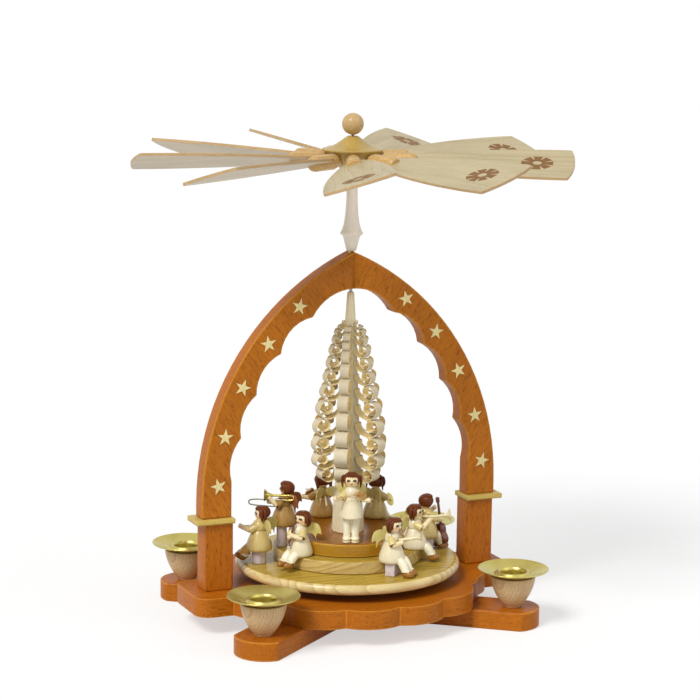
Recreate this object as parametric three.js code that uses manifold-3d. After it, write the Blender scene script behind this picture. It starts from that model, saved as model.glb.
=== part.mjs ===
// Musical Christmas pyramid: nine music-making angels on a turntable round a curled shaving tree,
// carried by a nine-blade rotor under a scalloped arch, with four candle holders on two cross boards.
// Millimetres, +Z up. The table top is Z = 0 and the rotor turns about the Z axis. The front is -Y.
import * as THREE from "three";
import { mergeVertices } from "three/addons/utils/BufferGeometryUtils.js";
import Module from "manifold-3d";

const wasm = await Module();
wasm.setup();

// Clearance between neighbouring pieces
const GAP = 0.3;
// How far a surface may move when crumbs of faces left by a cut are merged
const SIMPLIFY = 0.1;

// Cross boards
const BOARD_THICK = 17.7;
const BOARD_HALF_WIDTH = 23.5;
const BOARD_HALF_LENGTH = 188.5;
const BOARD_END_BULGE = 12.5;
const BOARD_AZIMUTH = 38.4;

// Base plate
const PLATE_BOTTOM = BOARD_THICK + GAP;
const PLATE_THICK = 18;
const PLATE_TOP = PLATE_BOTTOM + PLATE_THICK;
const PLATE_HALF_LENGTH = 165;
const PLATE_END_CORNER = 14;

// Candle holders
const CANDLE_X = 127.5;
const CANDLE_Y = 101;
const CUP_HEIGHT = 30;
const CUP_BORE = 13;
const WELL_RADIUS = 11.9;
const DISH_RIM = 33.8;
const DISH_RISE = 4.4;

// Posts, collars and arch
const POST_X = 136.2;
const POST_WIDTH = 27.7;
const POST_DEPTH = 22;
const POST_HEIGHT = 64.1;
const COLLAR_THICK = 4.7;
const COLLAR_OUT = 9;
const COLLAR_IN = 1.3;
const COLLAR_DEPTH = 28;
const ARCH_THICK = 17;
const ARCH_INNER_X = 123;
const ARCH_OUTER_X = 152.5;
const ARCH_ARC_Z = 119;
const ARCH_ARC_OFFSET = 100;
const ARCH_CROWN = 316;

// Spindle and its bearings
const ROD_RADIUS = 1.5;
const ROD_BORE = ROD_RADIUS + GAP;
const BEARING_RADIUS = 7;
const BEARING_DEPTH = 6;
const BUSH_RADIUS = 3;

// Turntable and tree
const TABLE_RADIUS = 108;
const TABLE_BOTTOM = 44.3;
const TABLE_THICK = 10.2;
const STEP_RADIUS = 71.5;
const STEP_THICK = 12.2;
const HONEY_RADIUS = 57;
const HONEY_THICK = 12.7;
const TABLE_TOP = TABLE_BOTTOM + TABLE_THICK;
const STEP_TOP = TABLE_TOP + GAP + STEP_THICK;
const HONEY_TOP = STEP_TOP + GAP + HONEY_THICK;
const TRUNK_FOOT_RADIUS = 15.75;
const TRUNK_TOP_RADIUS = 5.5;
const TRUNK_TOP = 280;
const TIP_TOP = TRUNK_TOP + 32;
const CURL_COLUMNS = [-125.9, -55.9, 3, 62.5, 122, 181];

// Rotor
const SLEEVE_BOTTOM = 351.5;
const SLEEVE_HEIGHT = 77;
const HUB_BOTTOM = SLEEVE_BOTTOM + SLEEVE_HEIGHT + GAP;
const HUB_HEIGHT = 30.7;
const HUB_FOOT_RADIUS = 11.2;
const HUB_RIM_RADIUS = 29;
const HUB_TOP = HUB_BOTTOM + HUB_HEIGHT;
const BALL_RADIUS = 10.25;
const BALL_Z = HUB_TOP + 1.05 + BALL_RADIUS;
const BLADES = 9;
const BLADE_FIRST_AZIMUTH = -32;
const BLADE_AXIS_Z = HUB_BOTTOM + 8.8;
const BLADE_PITCH = 17;
const BLADE_CORNER = 204;
const BLADE_END_BULGE = 4;
const BLADE_WIDTH = 65;
const BLADE_THICK = 3;
const BLADE_ROOT = 38;
const PEG_START = 26;
const PEG_END = 61;
const PEG_RADIUS = 7.6;
const DOWEL_RADIUS = 3;

// Music movement in the base plate
const POCKET_X = 26;
const POCKET_FRONT = 62;
const POCKET_BACK = 101;
const POCKET_TOP = 33.1;
const BED_THICK = 2;
const BED_TOP = PLATE_BOTTOM - GAP;
const MOVEMENT_Z = 25.3;
const BARREL_X = -11;
const BARREL_RADIUS = 7;
const BARREL_TEETH = 20;
const CYLINDER_RADIUS = 4.9;
const CYLINDER_TEETH = 14;
const GEAR_CENTRES = BARREL_RADIUS + CYLINDER_RADIUS + 0.2;
const CYLINDER_X = BARREL_X + GEAR_CENTRES;
const ARBOR_RADIUS = 1.2;
const KEY_RADIUS = 1.6;
const GOVERNOR_X = 16;
const GOVERNOR_Y = 96;

// Materials
const wood = (color, roughness = 0.5) =>
  new THREE.MeshStandardMaterial({ color, roughness, metalness: 0 });
const metal = (color, roughness = 0.3) =>
  new THREE.MeshStandardMaterial({ color, roughness, metalness: 1 });
const CHERRY = wood(0xa8501c);
const PALE = wood(0xdccba0);
const HONEY = wood(0xa5691e);
const SHAVING = wood(0xe3d3a0, 0.6);
const BLADE_WOOD = wood(0xcdbd92, 0.6);
const LILAC = wood(0xb9a9a9, 0.6);
const FIGURE = wood(0xe8dcb8, 0.45);
const BRASS = metal(0xc9b560);
const STEEL = metal(0x9a9a98, 0.4);

const root = new THREE.Group();
const rad = THREE.MathUtils.degToRad;

// Solids

// A closed three.js geometry as a solid that can be joined and cut.
function solid(geometry) {
  const bare = new THREE.BufferGeometry();
  bare.setAttribute("position", geometry.getAttribute("position"));
  if (geometry.index) bare.setIndex(geometry.index);
  const merged = mergeVertices(bare, 1e-4);
  const body = new wasm.Manifold(
    new wasm.Mesh({
      numProp: 3,
      vertProperties: new Float32Array(merged.attributes.position.array),
      triVerts: new Uint32Array(merged.index.array),
    }),
  );
  if (body.volume() < 0) throw new Error("a profile runs the wrong way round");
  return body;
}

function geometryOf(body) {
  const made = body.getMesh();
  const geometry = new THREE.BufferGeometry();
  geometry.setAttribute("position", new THREE.BufferAttribute(new Float32Array(made.vertProperties), 3));
  geometry.setIndex(new THREE.BufferAttribute(new Uint32Array(made.triVerts), 1));
  return geometry;
}

function piece(name, body, material) {
  const geometry = geometryOf(body.asOriginal().simplify(SIMPLIFY)).toNonIndexed();
  geometry.computeVertexNormals();
  const mesh = new THREE.Mesh(geometry, material);
  mesh.name = name;
  root.add(mesh);
  return mesh;
}

// A turned solid from an outline of [radius, z] points that runs up its outside.
function turned(outline, segments = 32) {
  const points = outline.map(([r, z]) => new THREE.Vector2(r, z));
  return solid(new THREE.LatheGeometry(points, segments).rotateX(Math.PI / 2));
}

// A turned ring: the outline closes on itself.
const ring = (outline, segments) => turned([...outline, outline[0]], segments);

// A flat outline of [x, y] points, run anticlockwise, raised from z0 to z1.
function slab(outline, z0, z1) {
  const shape = new THREE.Shape(outline.map(([x, y]) => new THREE.Vector2(x, y)));
  const geometry = new THREE.ExtrudeGeometry(shape, { depth: z1 - z0, bevelEnabled: false, curveSegments: 1 });
  return solid(geometry.translate(0, 0, z0));
}

const box = (x0, x1, y0, y1, z0, z1) =>
  solid(
    new THREE.BoxGeometry(x1 - x0, y1 - y0, z1 - z0).translate((x0 + x1) / 2, (y0 + y1) / 2, (z0 + z1) / 2),
  );

// A round bar along Z.
const bar = (radius, z0, z1, segments = 16) =>
  turned([[0, z0], [radius, z0], [radius, z1], [0, z1]], segments);

const ball = (radius, x, y, z, segments = 8, rows = 4) =>
  solid(new THREE.SphereGeometry(radius, segments, rows).translate(x, y, z));

// A round or tapered rod between two points.
function rod(from, to, radiusFrom, radiusTo = radiusFrom, segments = 5) {
  const a = new THREE.Vector3(...from);
  const b = new THREE.Vector3(...to);
  const along = b.clone().sub(a);
  const geometry = new THREE.CylinderGeometry(radiusTo, radiusFrom, along.length(), segments);
  const turn = new THREE.Quaternion().setFromUnitVectors(new THREE.Vector3(0, 1, 0), along.normalize());
  return solid(geometry.applyQuaternion(turn).translate(...a.add(b).multiplyScalar(0.5).toArray()));
}

function moved(body, { x = 0, y = 0, z = 0, turn = 0, tilt = 0, lean = 0 }) {
  return body.rotate([lean, tilt, 0]).rotate([0, 0, turn]).translate([x, y, z]);
}

// The largest body of a solid that a cut has left with loose crumbs.
const largest = (body) => body.decompose().sort((a, b) => b.volume() - a.volume())[0];

const joined = (bodies) => bodies.reduce((a, b) => a.add(b));
const polar = (radius, azimuth) => [radius * Math.cos(rad(azimuth)), radius * Math.sin(rad(azimuth))];

// Points of the arc from a to b that bulges to the right of its run by the sagitta, without b itself.
function arcPoints(a, b, sagitta, steps) {
  if (Math.abs(sagitta) < 1e-6) return [a];
  const dx = b[0] - a[0];
  const dy = b[1] - a[1];
  const chord = Math.hypot(dx, dy);
  const radius = (chord * chord) / (8 * sagitta) + sagitta / 2;
  const half = Math.asin(chord / 2 / radius);
  const nx = dy / chord;
  const ny = -dx / chord;
  const points = [];
  for (let i = 0; i < steps; i++) {
    const angle = -half + (2 * half * i) / steps;
    const across = radius * Math.sin(angle);
    const out = radius * Math.cos(angle) - (radius - sagitta);
    points.push([
      (a[0] + b[0]) / 2 + (dx / chord) * across + nx * out,
      (a[1] + b[1]) / 2 + (dy / chord) * across + ny * out,
    ]);
  }
  return points;
}

// Points of a quarter turn round a centre, both ends included.
function corner(cx, cy, radius, fromDegrees, steps = 4) {
  return Array.from({ length: steps + 1 }, (_, i) => {
    const [x, y] = polar(radius, fromDegrees + (90 * i) / steps);
    return [cx + x, cy + y];
  });
}

// Cross boards: two boards half-lapped into an X
function boardOutline(halfLength, halfWidth) {
  const end = halfLength - BOARD_END_BULGE;
  return [
    ...arcPoints([end, -halfWidth], [end, halfWidth], BOARD_END_BULGE, 8),
    [end, halfWidth],
    ...arcPoints([-end, halfWidth], [-end, -halfWidth], BOARD_END_BULGE, 8),
    [-end, -halfWidth],
  ];
}

function crossBoards() {
  const board = slab(boardOutline(BOARD_HALF_LENGTH, BOARD_HALF_WIDTH), 0, BOARD_THICK);
  const half = BOARD_THICK / 2;
  const notchWidth = BOARD_HALF_WIDTH + GAP;
  const upperNotch = box(-70, 70, -notchWidth, notchWidth, half - GAP / 2, BOARD_THICK + 1);
  const lowerNotch = box(-70, 70, -notchWidth, notchWidth, -1, half + GAP / 2);
  const lower = board.rotate([0, 0, BOARD_AZIMUTH]).subtract(upperNotch.rotate([0, 0, -BOARD_AZIMUTH]));
  const upper = board.rotate([0, 0, -BOARD_AZIMUTH]).subtract(lowerNotch.rotate([0, 0, BOARD_AZIMUTH]));
  piece("cross_board_lower", lower, CHERRY);
  piece("cross_board_upper", upper, CHERRY);
}

// Base plate: a cloud-shaped plate with flat-ended lobes under the posts
function plateOutline() {
  const cusps = [[0, -122], [50, -112], [95, -78], [113, -57], [131, -35.5]];
  const sagittas = [9, 12, 2.5, 2.5];
  const steps = [8, 8, 3, 3];
  const front = [];
  sagittas.forEach((sagitta, i) => front.push(...arcPoints(cusps[i], cusps[i + 1], sagitta, steps[i])));
  front.push(cusps[4]);
  const end = PLATE_HALF_LENGTH - PLATE_END_CORNER;
  const side = 35.5 - PLATE_END_CORNER;
  front.push(...corner(end, -side, PLATE_END_CORNER, 270));
  const mirror = (points, sx, sy) => points.map(([x, y]) => [sx * x, sy * y]);
  return [
    ...front,
    ...mirror(front, 1, -1).reverse(),
    ...mirror(front, -1, -1).slice(1),
    ...mirror(front, -1, 1).reverse().slice(0, -1),
  ];
}

function basePlate() {
  const pocket = box(-POCKET_X, POCKET_X, POCKET_FRONT, POCKET_BACK, PLATE_BOTTOM - 1, POCKET_TOP);
  const keyHole = rod([BARREL_X, POCKET_BACK - 1, MOVEMENT_Z], [BARREL_X, 140, MOVEMENT_Z], KEY_RADIUS + 0.5, undefined, 12);
  const seat = bar(BEARING_RADIUS + GAP, PLATE_TOP - BEARING_DEPTH - GAP, PLATE_TOP + 1, 24);
  const plate = slab(plateOutline(), PLATE_BOTTOM, PLATE_TOP).subtract(pocket).subtract(keyHole).subtract(seat);
  piece("base_plate", plate, CHERRY);
}

// Candle holders: a turned egg cup with a brass drip dish pressed into it
function candleHolders() {
  const foot = BOARD_THICK + GAP;
  const cupOutline = [
    [0, 0], [7.5, 0], [8.5, 1.5], [13.5, 7], [18, 14.5], [20.6, 22], [21.4, CUP_HEIGHT],
    [CUP_BORE, CUP_HEIGHT], [CUP_BORE, 9], [0, 9],
  ].map(([r, z]) => [r, z + foot]);
  const seat = foot + CUP_HEIGHT + GAP;
  const well = foot + 9 + GAP;
  const dishOutline = [
    [0, well], [CUP_BORE - 0.4, well], [CUP_BORE - 0.4, seat], [17.6, seat], [17.8, seat + 2],
    [33.5, seat + 2 + DISH_RISE], [DISH_RIM, seat + 2.9 + DISH_RISE], [17.4, seat + 2.7],
    [15.2, seat + 3.3], [WELL_RADIUS, seat + 0.9],
    [WELL_RADIUS, well + 0.9], [0, well + 0.9],
  ];
  const cup = turned(cupOutline, 16);
  const dish = turned(dishOutline, 16);
  const places = { front_left: [-1, -1], front_right: [1, -1], back_left: [-1, 1], back_right: [1, 1] };
  for (const [place, [sx, sy]] of Object.entries(places)) {
    const at = [sx * CANDLE_X, sy * CANDLE_Y, 0];
    piece("candle_cup_" + place, cup.translate(at), PALE);
    piece("drip_dish_" + place, dish.translate(at), BRASS);
  }
}

// Posts and collars
function postsAndCollars() {
  const bottom = PLATE_TOP + GAP;
  const top = bottom + POST_HEIGHT;
  for (const [side, s] of [["left", -1], ["right", 1]]) {
    const inner = POST_X - POST_WIDTH / 2;
    const outer = POST_X + POST_WIDTH / 2;
    const span = (a, b) => (s < 0 ? [-b, -a] : [a, b]);
    piece("post_" + side, box(...span(inner, outer), -POST_DEPTH / 2, POST_DEPTH / 2, bottom, top), CHERRY);
    const collar = box(
      ...span(inner - COLLAR_IN, outer + COLLAR_OUT),
      -COLLAR_DEPTH / 2,
      COLLAR_DEPTH / 2,
      top + GAP,
      top + GAP + COLLAR_THICK,
    );
    piece("collar_" + side, collar, PALE);
  }
}

// Arch: two halves that meet over the spindle
const ARCH_BOTTOM = PLATE_TOP + POST_HEIGHT + COLLAR_THICK + 3 * GAP;
const ARCH_RADIUS = ARCH_OUTER_X + ARCH_ARC_OFFSET;
const ARCH_APEX = ARCH_ARC_Z + Math.sqrt(ARCH_RADIUS ** 2 - ARCH_ARC_OFFSET ** 2);

function archOutline() {
  const apexAngle = Math.acos(ARCH_ARC_OFFSET / ARCH_RADIUS);
  const outerSteps = 22;
  const outer = Array.from({ length: outerSteps + 1 }, (_, i) => {
    const angle = (apexAngle * i) / outerSteps;
    return [-ARCH_ARC_OFFSET + ARCH_RADIUS * Math.cos(angle), ARCH_ARC_Z + ARCH_RADIUS * Math.sin(angle)];
  });
  outer[outerSteps][0] = 0;
  const cusps = [[42, 291], [74, 258], [98.3, 220.3], [113.5, 180.5], [ARCH_INNER_X, 140]];
  const sagittas = [8, 7, 6.2, 5.3];
  const crownSagitta = ARCH_CROWN - cusps[0][1];
  const crown = arcPoints(cusps[0], [-cusps[0][0], cusps[0][1]], crownSagitta, 16);
  const scallops = [];
  sagittas.forEach((sagitta, i) => {
    const inward = arcPoints(cusps[i + 1], cusps[i], sagitta, 7);
    scallops.push(...inward.reverse());
  });
  return [
    [ARCH_INNER_X, ARCH_BOTTOM],
    [ARCH_OUTER_X, ARCH_BOTTOM],
    ...outer,
    [0, ARCH_CROWN],
    ...crown.slice(0, 8).reverse(),
    ...scallops,
  ];
}

function arch() {
  const flat = slab(archOutline(), -ARCH_THICK / 2, ARCH_THICK / 2);
  const upright = flat.rotate([90, 0, 0]);
  const groove = bar(BUSH_RADIUS + GAP, ARCH_CROWN - 10, ARCH_APEX + 10, 16);
  const seam = box(-GAP / 2, GAP / 2, -20, 20, ARCH_CROWN - 10, ARCH_APEX + 10);
  const right = upright.subtract(groove).subtract(seam);
  piece("arch_right", right, CHERRY);
  piece("arch_left", right.mirror([1, 0, 0]), CHERRY);
}

// Spindle rod with its bush and its pointed bottom bearing
function spindle() {
  const seatZ = PLATE_TOP - BEARING_DEPTH;
  const cupTop = PLATE_TOP + 2;
  const pointZ = PLATE_TOP - 1.5;
  const bearing = turned(
    [[0, seatZ], [BEARING_RADIUS, seatZ], [BEARING_RADIUS, cupTop - 0.8], [BEARING_RADIUS - 0.8, cupTop],
      [3.2, cupTop], [0, pointZ]],
    20,
  );
  piece("bottom_bearing", bearing, BRASS);
  const rodTop = HUB_TOP - 7;
  const spindleRod = turned(
    [[0, pointZ + GAP], [ROD_RADIUS, pointZ + GAP + 3], [ROD_RADIUS, rodTop], [0, rodTop]],
    12,
  );
  piece("spindle_rod", spindleRod, STEEL);
  const bush = ring(
    [[ROD_BORE + 0.1, ARCH_CROWN - 1], [BUSH_RADIUS, ARCH_CROWN - 1], [BUSH_RADIUS, ARCH_APEX - 0.3],
      [ROD_BORE + 0.1, ARCH_APEX - 0.3]],
    16,
  );
  piece("guide_bush", bush, BRASS);
}

// Turntable: the striped disc, the step ring and the honey disc
function turntable() {
  const rimRadius = TABLE_THICK / 2;
  const rim = corner(TABLE_RADIUS - rimRadius, TABLE_BOTTOM + rimRadius, rimRadius, -90, 2).concat(
    corner(TABLE_RADIUS - rimRadius, TABLE_BOTTOM + rimRadius, rimRadius, 0, 2).slice(1),
  );
  const disc = ring([[ROD_BORE, TABLE_BOTTOM], ...rim, [ROD_BORE, TABLE_TOP]], 36);
  piece("turntable_disc", disc, PALE);
  const tier = (radius, z0, z1) => ring([[ROD_BORE, z0], [radius, z0], [radius, z1], [ROD_BORE, z1]], 32);
  piece("step_ring", tier(STEP_RADIUS, TABLE_TOP + GAP, STEP_TOP), PALE);
  piece("honey_disc", tier(HONEY_RADIUS, STEP_TOP + GAP, HONEY_TOP), HONEY);
}

// Tree: a tapered trunk with six columns of curled shavings
const trunkRadius = (z) =>
  TRUNK_FOOT_RADIUS + ((TRUNK_TOP_RADIUS - TRUNK_FOOT_RADIUS) * (z - HONEY_TOP)) / (TRUNK_TOP - HONEY_TOP);

// Heights of the rolls in a column, from the top down; the front column is cut half a roll lower than the others.
const ROLL_HEIGHTS = [3.4, 6.3, 8.3, 11.5, 13, 13, 15.1, 17.2, 17.2, 16.7, 14.5, 12.6];
const FRONT_ROLL_HEIGHTS = [5.6, 8.2, 8, 12.1, 14.2, 15.2, 16.3, 17.3, 15.3, 19.7, 12.9, 11.2];

// How far the rolls reach from the axis at a depth below the top of the curls
const CURL_REACH = [[0, 11], [6, 15.5], [23, 20.7], [49, 26.3], [79, 33.2], [97, 36.1], [114, 37.3], [130, 36.5],
  [143, 31], [160, 22]];

function reachAt(depth) {
  const next = CURL_REACH.findIndex(([d]) => d > depth);
  const [d1, r1] = CURL_REACH[next];
  const [d0, r0] = CURL_REACH[next - 1];
  return r0 + ((r1 - r0) * (depth - d0)) / (d1 - d0);
}

// One curled ribbon in the plane of radius and height: it leaves the trunk, runs down and out, and rolls up inwards.
function curl(high, height) {
  const rollRadius = height / 2 - 0.25;
  const centreZ = high - height / 2;
  const depth = TRUNK_TOP - centreZ;
  const centreR = reachAt(depth) - rollRadius;
  const start = centreR - trunkRadius(centreZ) + 0.8;
  const thick = Math.min(1.3, rollRadius * 0.28);
  const turns = [[172, start], [240, Math.min((start + rollRadius) / 2, rollRadius * 1.25)], [305, rollRadius],
    [375, rollRadius * 1.03], [455, rollRadius * 0.9], [560, rollRadius * 0.58]];
  const at = (angle, radius) => {
    const [x, y] = polar(radius, angle);
    return [centreR + x, centreZ + y];
  };
  const outer = turns.map(([angle, radius]) => at(angle, radius));
  const inner = turns.map(([angle, radius]) => at(angle, radius - thick));
  const width = 6.2 + 0.054 * depth;
  return slab([...outer, ...inner.reverse()], -width / 2, width / 2).rotate([90, 0, 0]);
}

function tree() {
  const trunk = ring(
    [[ROD_BORE, HONEY_TOP + GAP], [TRUNK_FOOT_RADIUS, HONEY_TOP + GAP], [TRUNK_TOP_RADIUS, TRUNK_TOP],
      [3.25, TIP_TOP], [ROD_BORE, TIP_TOP]],
    10,
  );
  const bodies = [trunk];
  CURL_COLUMNS.forEach((azimuth, i) => {
    let high = TRUNK_TOP;
    for (const height of i ? ROLL_HEIGHTS : FRONT_ROLL_HEIGHTS) {
      bodies.push(curl(high, height).rotate([0, 0, azimuth]));
      high -= height;
    }
  });
  piece("shaving_tree", wasm.Manifold.union(bodies), SHAVING);
}

// Rotor head: sleeve, hub and finial ball
function rotorHead() {
  const sleeve = ring(
    [[ROD_BORE, 0], [4.55, 0], [8.35, 13.5], [10.7, 15.7], [10.7, 17.3], [9.5, 20],
      [7.25, 25.9], [6.15, 33.5], [5.2, SLEEVE_HEIGHT * 0.7], [5.2, SLEEVE_HEIGHT], [ROD_BORE, SLEEVE_HEIGHT]],
    14,
  );
  piece("spindle_sleeve", sleeve.translate([0, 0, SLEEVE_BOTTOM]), PALE);
  let hub = ring(
    [[ROD_BORE, HUB_BOTTOM], [HUB_FOOT_RADIUS, HUB_BOTTOM], [HUB_RIM_RADIUS - 1, HUB_TOP - 13.6],
      [HUB_RIM_RADIUS, HUB_TOP - 12.9], [HUB_RIM_RADIUS - 0.6, HUB_TOP - 11.9], [HUB_RIM_RADIUS - 4, HUB_TOP - 11.3],
      [HUB_RIM_RADIUS - 12.5, HUB_TOP - 8.5], [9.8, HUB_TOP - 3.5], [4.5, HUB_TOP], [ROD_BORE, HUB_TOP]],
    18,
  );
  for (let i = 0; i < BLADES; i++) {
    const turn = BLADE_FIRST_AZIMUTH + (360 * i) / BLADES;
    const socket = bar(DOWEL_RADIUS + 1.5 * GAP, 9.5, 40, 8).rotate([0, 90, 0]);
    hub = hub.subtract(moved(socket, { z: BLADE_AXIS_Z, turn }));
  }
  piece("rotor_hub", hub, PALE);
  const outline = [[0, HUB_TOP - 6.5], [1.4, HUB_TOP - 6.5], [1.4, BALL_Z - BALL_RADIUS * Math.cos(rad(10))]];
  for (let angle = 30; angle < 180; angle += 25)
    outline.push([BALL_RADIUS * Math.sin(rad(angle)), BALL_Z - BALL_RADIUS * Math.cos(rad(angle))]);
  outline.push([0, BALL_Z + BALL_RADIUS]);
  piece("finial_ball", turned(outline, 16), PALE);
}

// Blades: a thin wooden vane let into a turned peg, which turns in the hub to set the pitch
function bladeOutline() {
  const half = BLADE_WIDTH / 2;
  const side = new THREE.QuadraticBezierCurve(
    new THREE.Vector2(BLADE_ROOT, 8.8),
    new THREE.Vector2(BLADE_CORNER * 0.52, half * 0.96),
    new THREE.Vector2(BLADE_CORNER - 2.5, half),
  );
  const edge = side.getPoints(6).map((p) => [p.x, p.y]);
  const end = arcPoints([BLADE_CORNER, 2.5 - half], [BLADE_CORNER, half - 2.5], BLADE_END_BULGE, 4);
  return [...edge.map(([x, y]) => [x, -y]), ...end, [BLADE_CORNER, half - 2.5], ...edge.reverse()];
}

function blades() {
  const vane = slab(bladeOutline(), -BLADE_THICK / 2, BLADE_THICK / 2).rotate([BLADE_PITCH, 0, 0]);
  const peg = turned(
    [[0, 10], [DOWEL_RADIUS, 10], [DOWEL_RADIUS, PEG_START], [5, PEG_START], [PEG_RADIUS, PEG_START + 6],
      [PEG_RADIUS, PEG_END - 4], [5.6, PEG_END], [0, PEG_END]],
    8,
  ).rotate([0, 90, 0]);
  const blade = vane.add(peg);
  for (let i = 0; i < BLADES; i++)
    piece(
      "blade_" + (i + 1),
      moved(blade, { z: BLADE_AXIS_Z, turn: BLADE_FIRST_AZIMUTH + (360 * i) / BLADES }),
      BLADE_WOOD,
    );
}

// Joined bodies with the slivers taken out where they meet.
const thinned = (bodies) => joined(bodies).asOriginal().simplify(5 * SIMPLIFY);

// Angels. A figure faces +X and its seat, or the soles of a standing one, is at z = 0.
const HEAD_RADIUS = 7.2;
const HEAD_UP = 34.7;

const dress = () =>
  turned([[0, 0], [11.4, 0], [12, 4], [10.6, 11], [6.4, 19], [5.6, 24.5], [2.4, 29], [0, 29]], 8);

function wings(z) {
  const shape = [[0, 0], [0, 5], [4, 9.5], [10, 10], [13.5, 5], [12.5, -4], [7.5, -2]];
  const one = slab(shape, -1, 1).rotate([90, 0, 90]);
  const left = one.rotate([0, 0, 18]).translate([-5.6, 1.2, z]);
  return left.add(left.mirror([0, 1, 0]));
}

// An arm: a sleeve to the elbow and a forearm that ends in a rounder hand
const arm = ([shoulder, elbow, hand]) =>
  rod(shoulder, elbow, 2.5, 2.6).add(rod(elbow, hand, 1.8, 2.3));

const arms = (left, right, z = 23) => arm([[0, 4, z], ...left]).add(arm([[0, -4, z], ...right]));

// Legs of a seated figure: thighs out of the dress, then shoes flat on what lies `drop` below the seat.
function seatedLegs(drop) {
  const one = (y) =>
    joined([
      rod([6, y, 3.6], [15.5, y, 3.4], 3.3, 3.1),
      rod([14.5, y, 4], [18, y, 2.6 - drop], 3.1, 2.7),
      box(15, 23, y - 3, y + 3, GAP - drop, 3 - drop),
    ]);
  return one(3.7).add(one(-3.7));
}

function seated({ drop, reach, wingsAt = 18 }) {
  return thinned([dress(), ball(HEAD_RADIUS, 0, 0, HEAD_UP), seatedLegs(drop), wings(wingsAt), reach]);
}

function standing({ reach }) {
  const legs = joined(
    [4, -4].map((y) => rod([0, y, 2], [0, y, 26], 3.2).add(box(-3.2, 6, y - 3.4, y + 3.4, 0, 3.2))),
  );
  const lift = 24.5;
  return thinned([
    legs,
    dress().translate([0, 0, lift]),
    ball(HEAD_RADIUS, 0, 0, HEAD_UP + lift),
    wings(18 + lift),
    reach.translate([0, 0, lift]),
  ]);
}

const flute = () => rod([7, 0, 31.5], [14.5, 0, 12], 1.4);
const fiddle = () => ball(4.4, 11, 6, 25, 8, 5).scale([1, 1, 0.55]).translate([0, 0, 11]).add(rod([9, 5, 25], [20, 9, 25], 1.1));
const horn = () =>
  rod([7.5, -2, 22], [22, 2, 24.5], 1.3).add(rod([20, 1.5, 24.2], [27, 3.4, 25.4], 1.4, 4.2, 8));
const trumpet = () => rod([5, 0, 31.5], [28, 2, 33], 1.4).add(rod([26, 1.8, 32.8], [34, 2.6, 33.4], 1.3, 6.5, 10));
const cymbal = (y) => turned([[0, -0.6], [6.6, -0.6], [6.6, 0.6], [0, 0.6]], 12).rotate([68, 0, 0]).translate([10, y, 17]);

// A figure or instrument set `radius` from the axis at an azimuth, facing another azimuth, on a seat at height z
function placed(body, radius, azimuth, facing, z) {
  const [x, y] = polar(radius, azimuth);
  return moved(body, { x, y, z, turn: facing });
}

const SINGER_PLACE = [89.5, 176.4, 143];
const TROMBONE_PLACE = [62.2, 167.2, 150];
const TRUMPET_PLACE = [66, -38, -12];
const STOOL_HEIGHT = 12.2;
const LOW_SEAT = TABLE_TOP + 2 * GAP + STOOL_HEIGHT;
const TALL_SEAT = STEP_TOP + 20;

// A trombone that points along +X, with its bell in front and its slide beyond it
function trombone(grow = 0) {
  return joined([
    rod([-7, 0, 0], [11, 0, 0], 1.2 + grow, undefined, 8),
    rod([10, 0, 0], [20, 0, 0], 1.3 + grow, 6.4 + grow, 12),
    rod([-7, 0, 0.8], [-7, 0, -4.8], 1 + grow),
    rod([-7, 0, -4], [34, 0, -5], 0.8 + grow),
    rod([34, 0, -4.2], [35.5, 0, -9.5], 0.8 + grow),
    rod([35.5, 0, -9], [8, 0, -11], 0.8 + grow),
  ]).translate([0, 8.8, 28]);
}

// A double bass that stands on its spike, body first and neck above
function bass(grow = 0) {
  const waist = [[0, -10], [6.4, -10], [8.4, -6], [7.6, -1.5], [5.4, 1.5], [6, 5], [5.6, 8.5], [2.5, 10.5]];
  const outline = [...waist, ...waist.slice(1).reverse().map(([x, y]) => [-x, y])];
  const body = slab(outline.slice(0, -1), -3.4 - grow, 3.4 + grow).rotate([90, 0, 90]);
  return joined([
    body.translate([0, 0, 15]),
    rod([0, 0, GAP], [0, 0, 8], 1 + grow),
    rod([0.5, 0, 22], [0.5, 0, 49], 1.5 + grow),
    box(-1.6 - grow, 2.2 + grow, -2 - grow, 2 + grow, 46, 52 + grow),
  ]);
}

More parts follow.
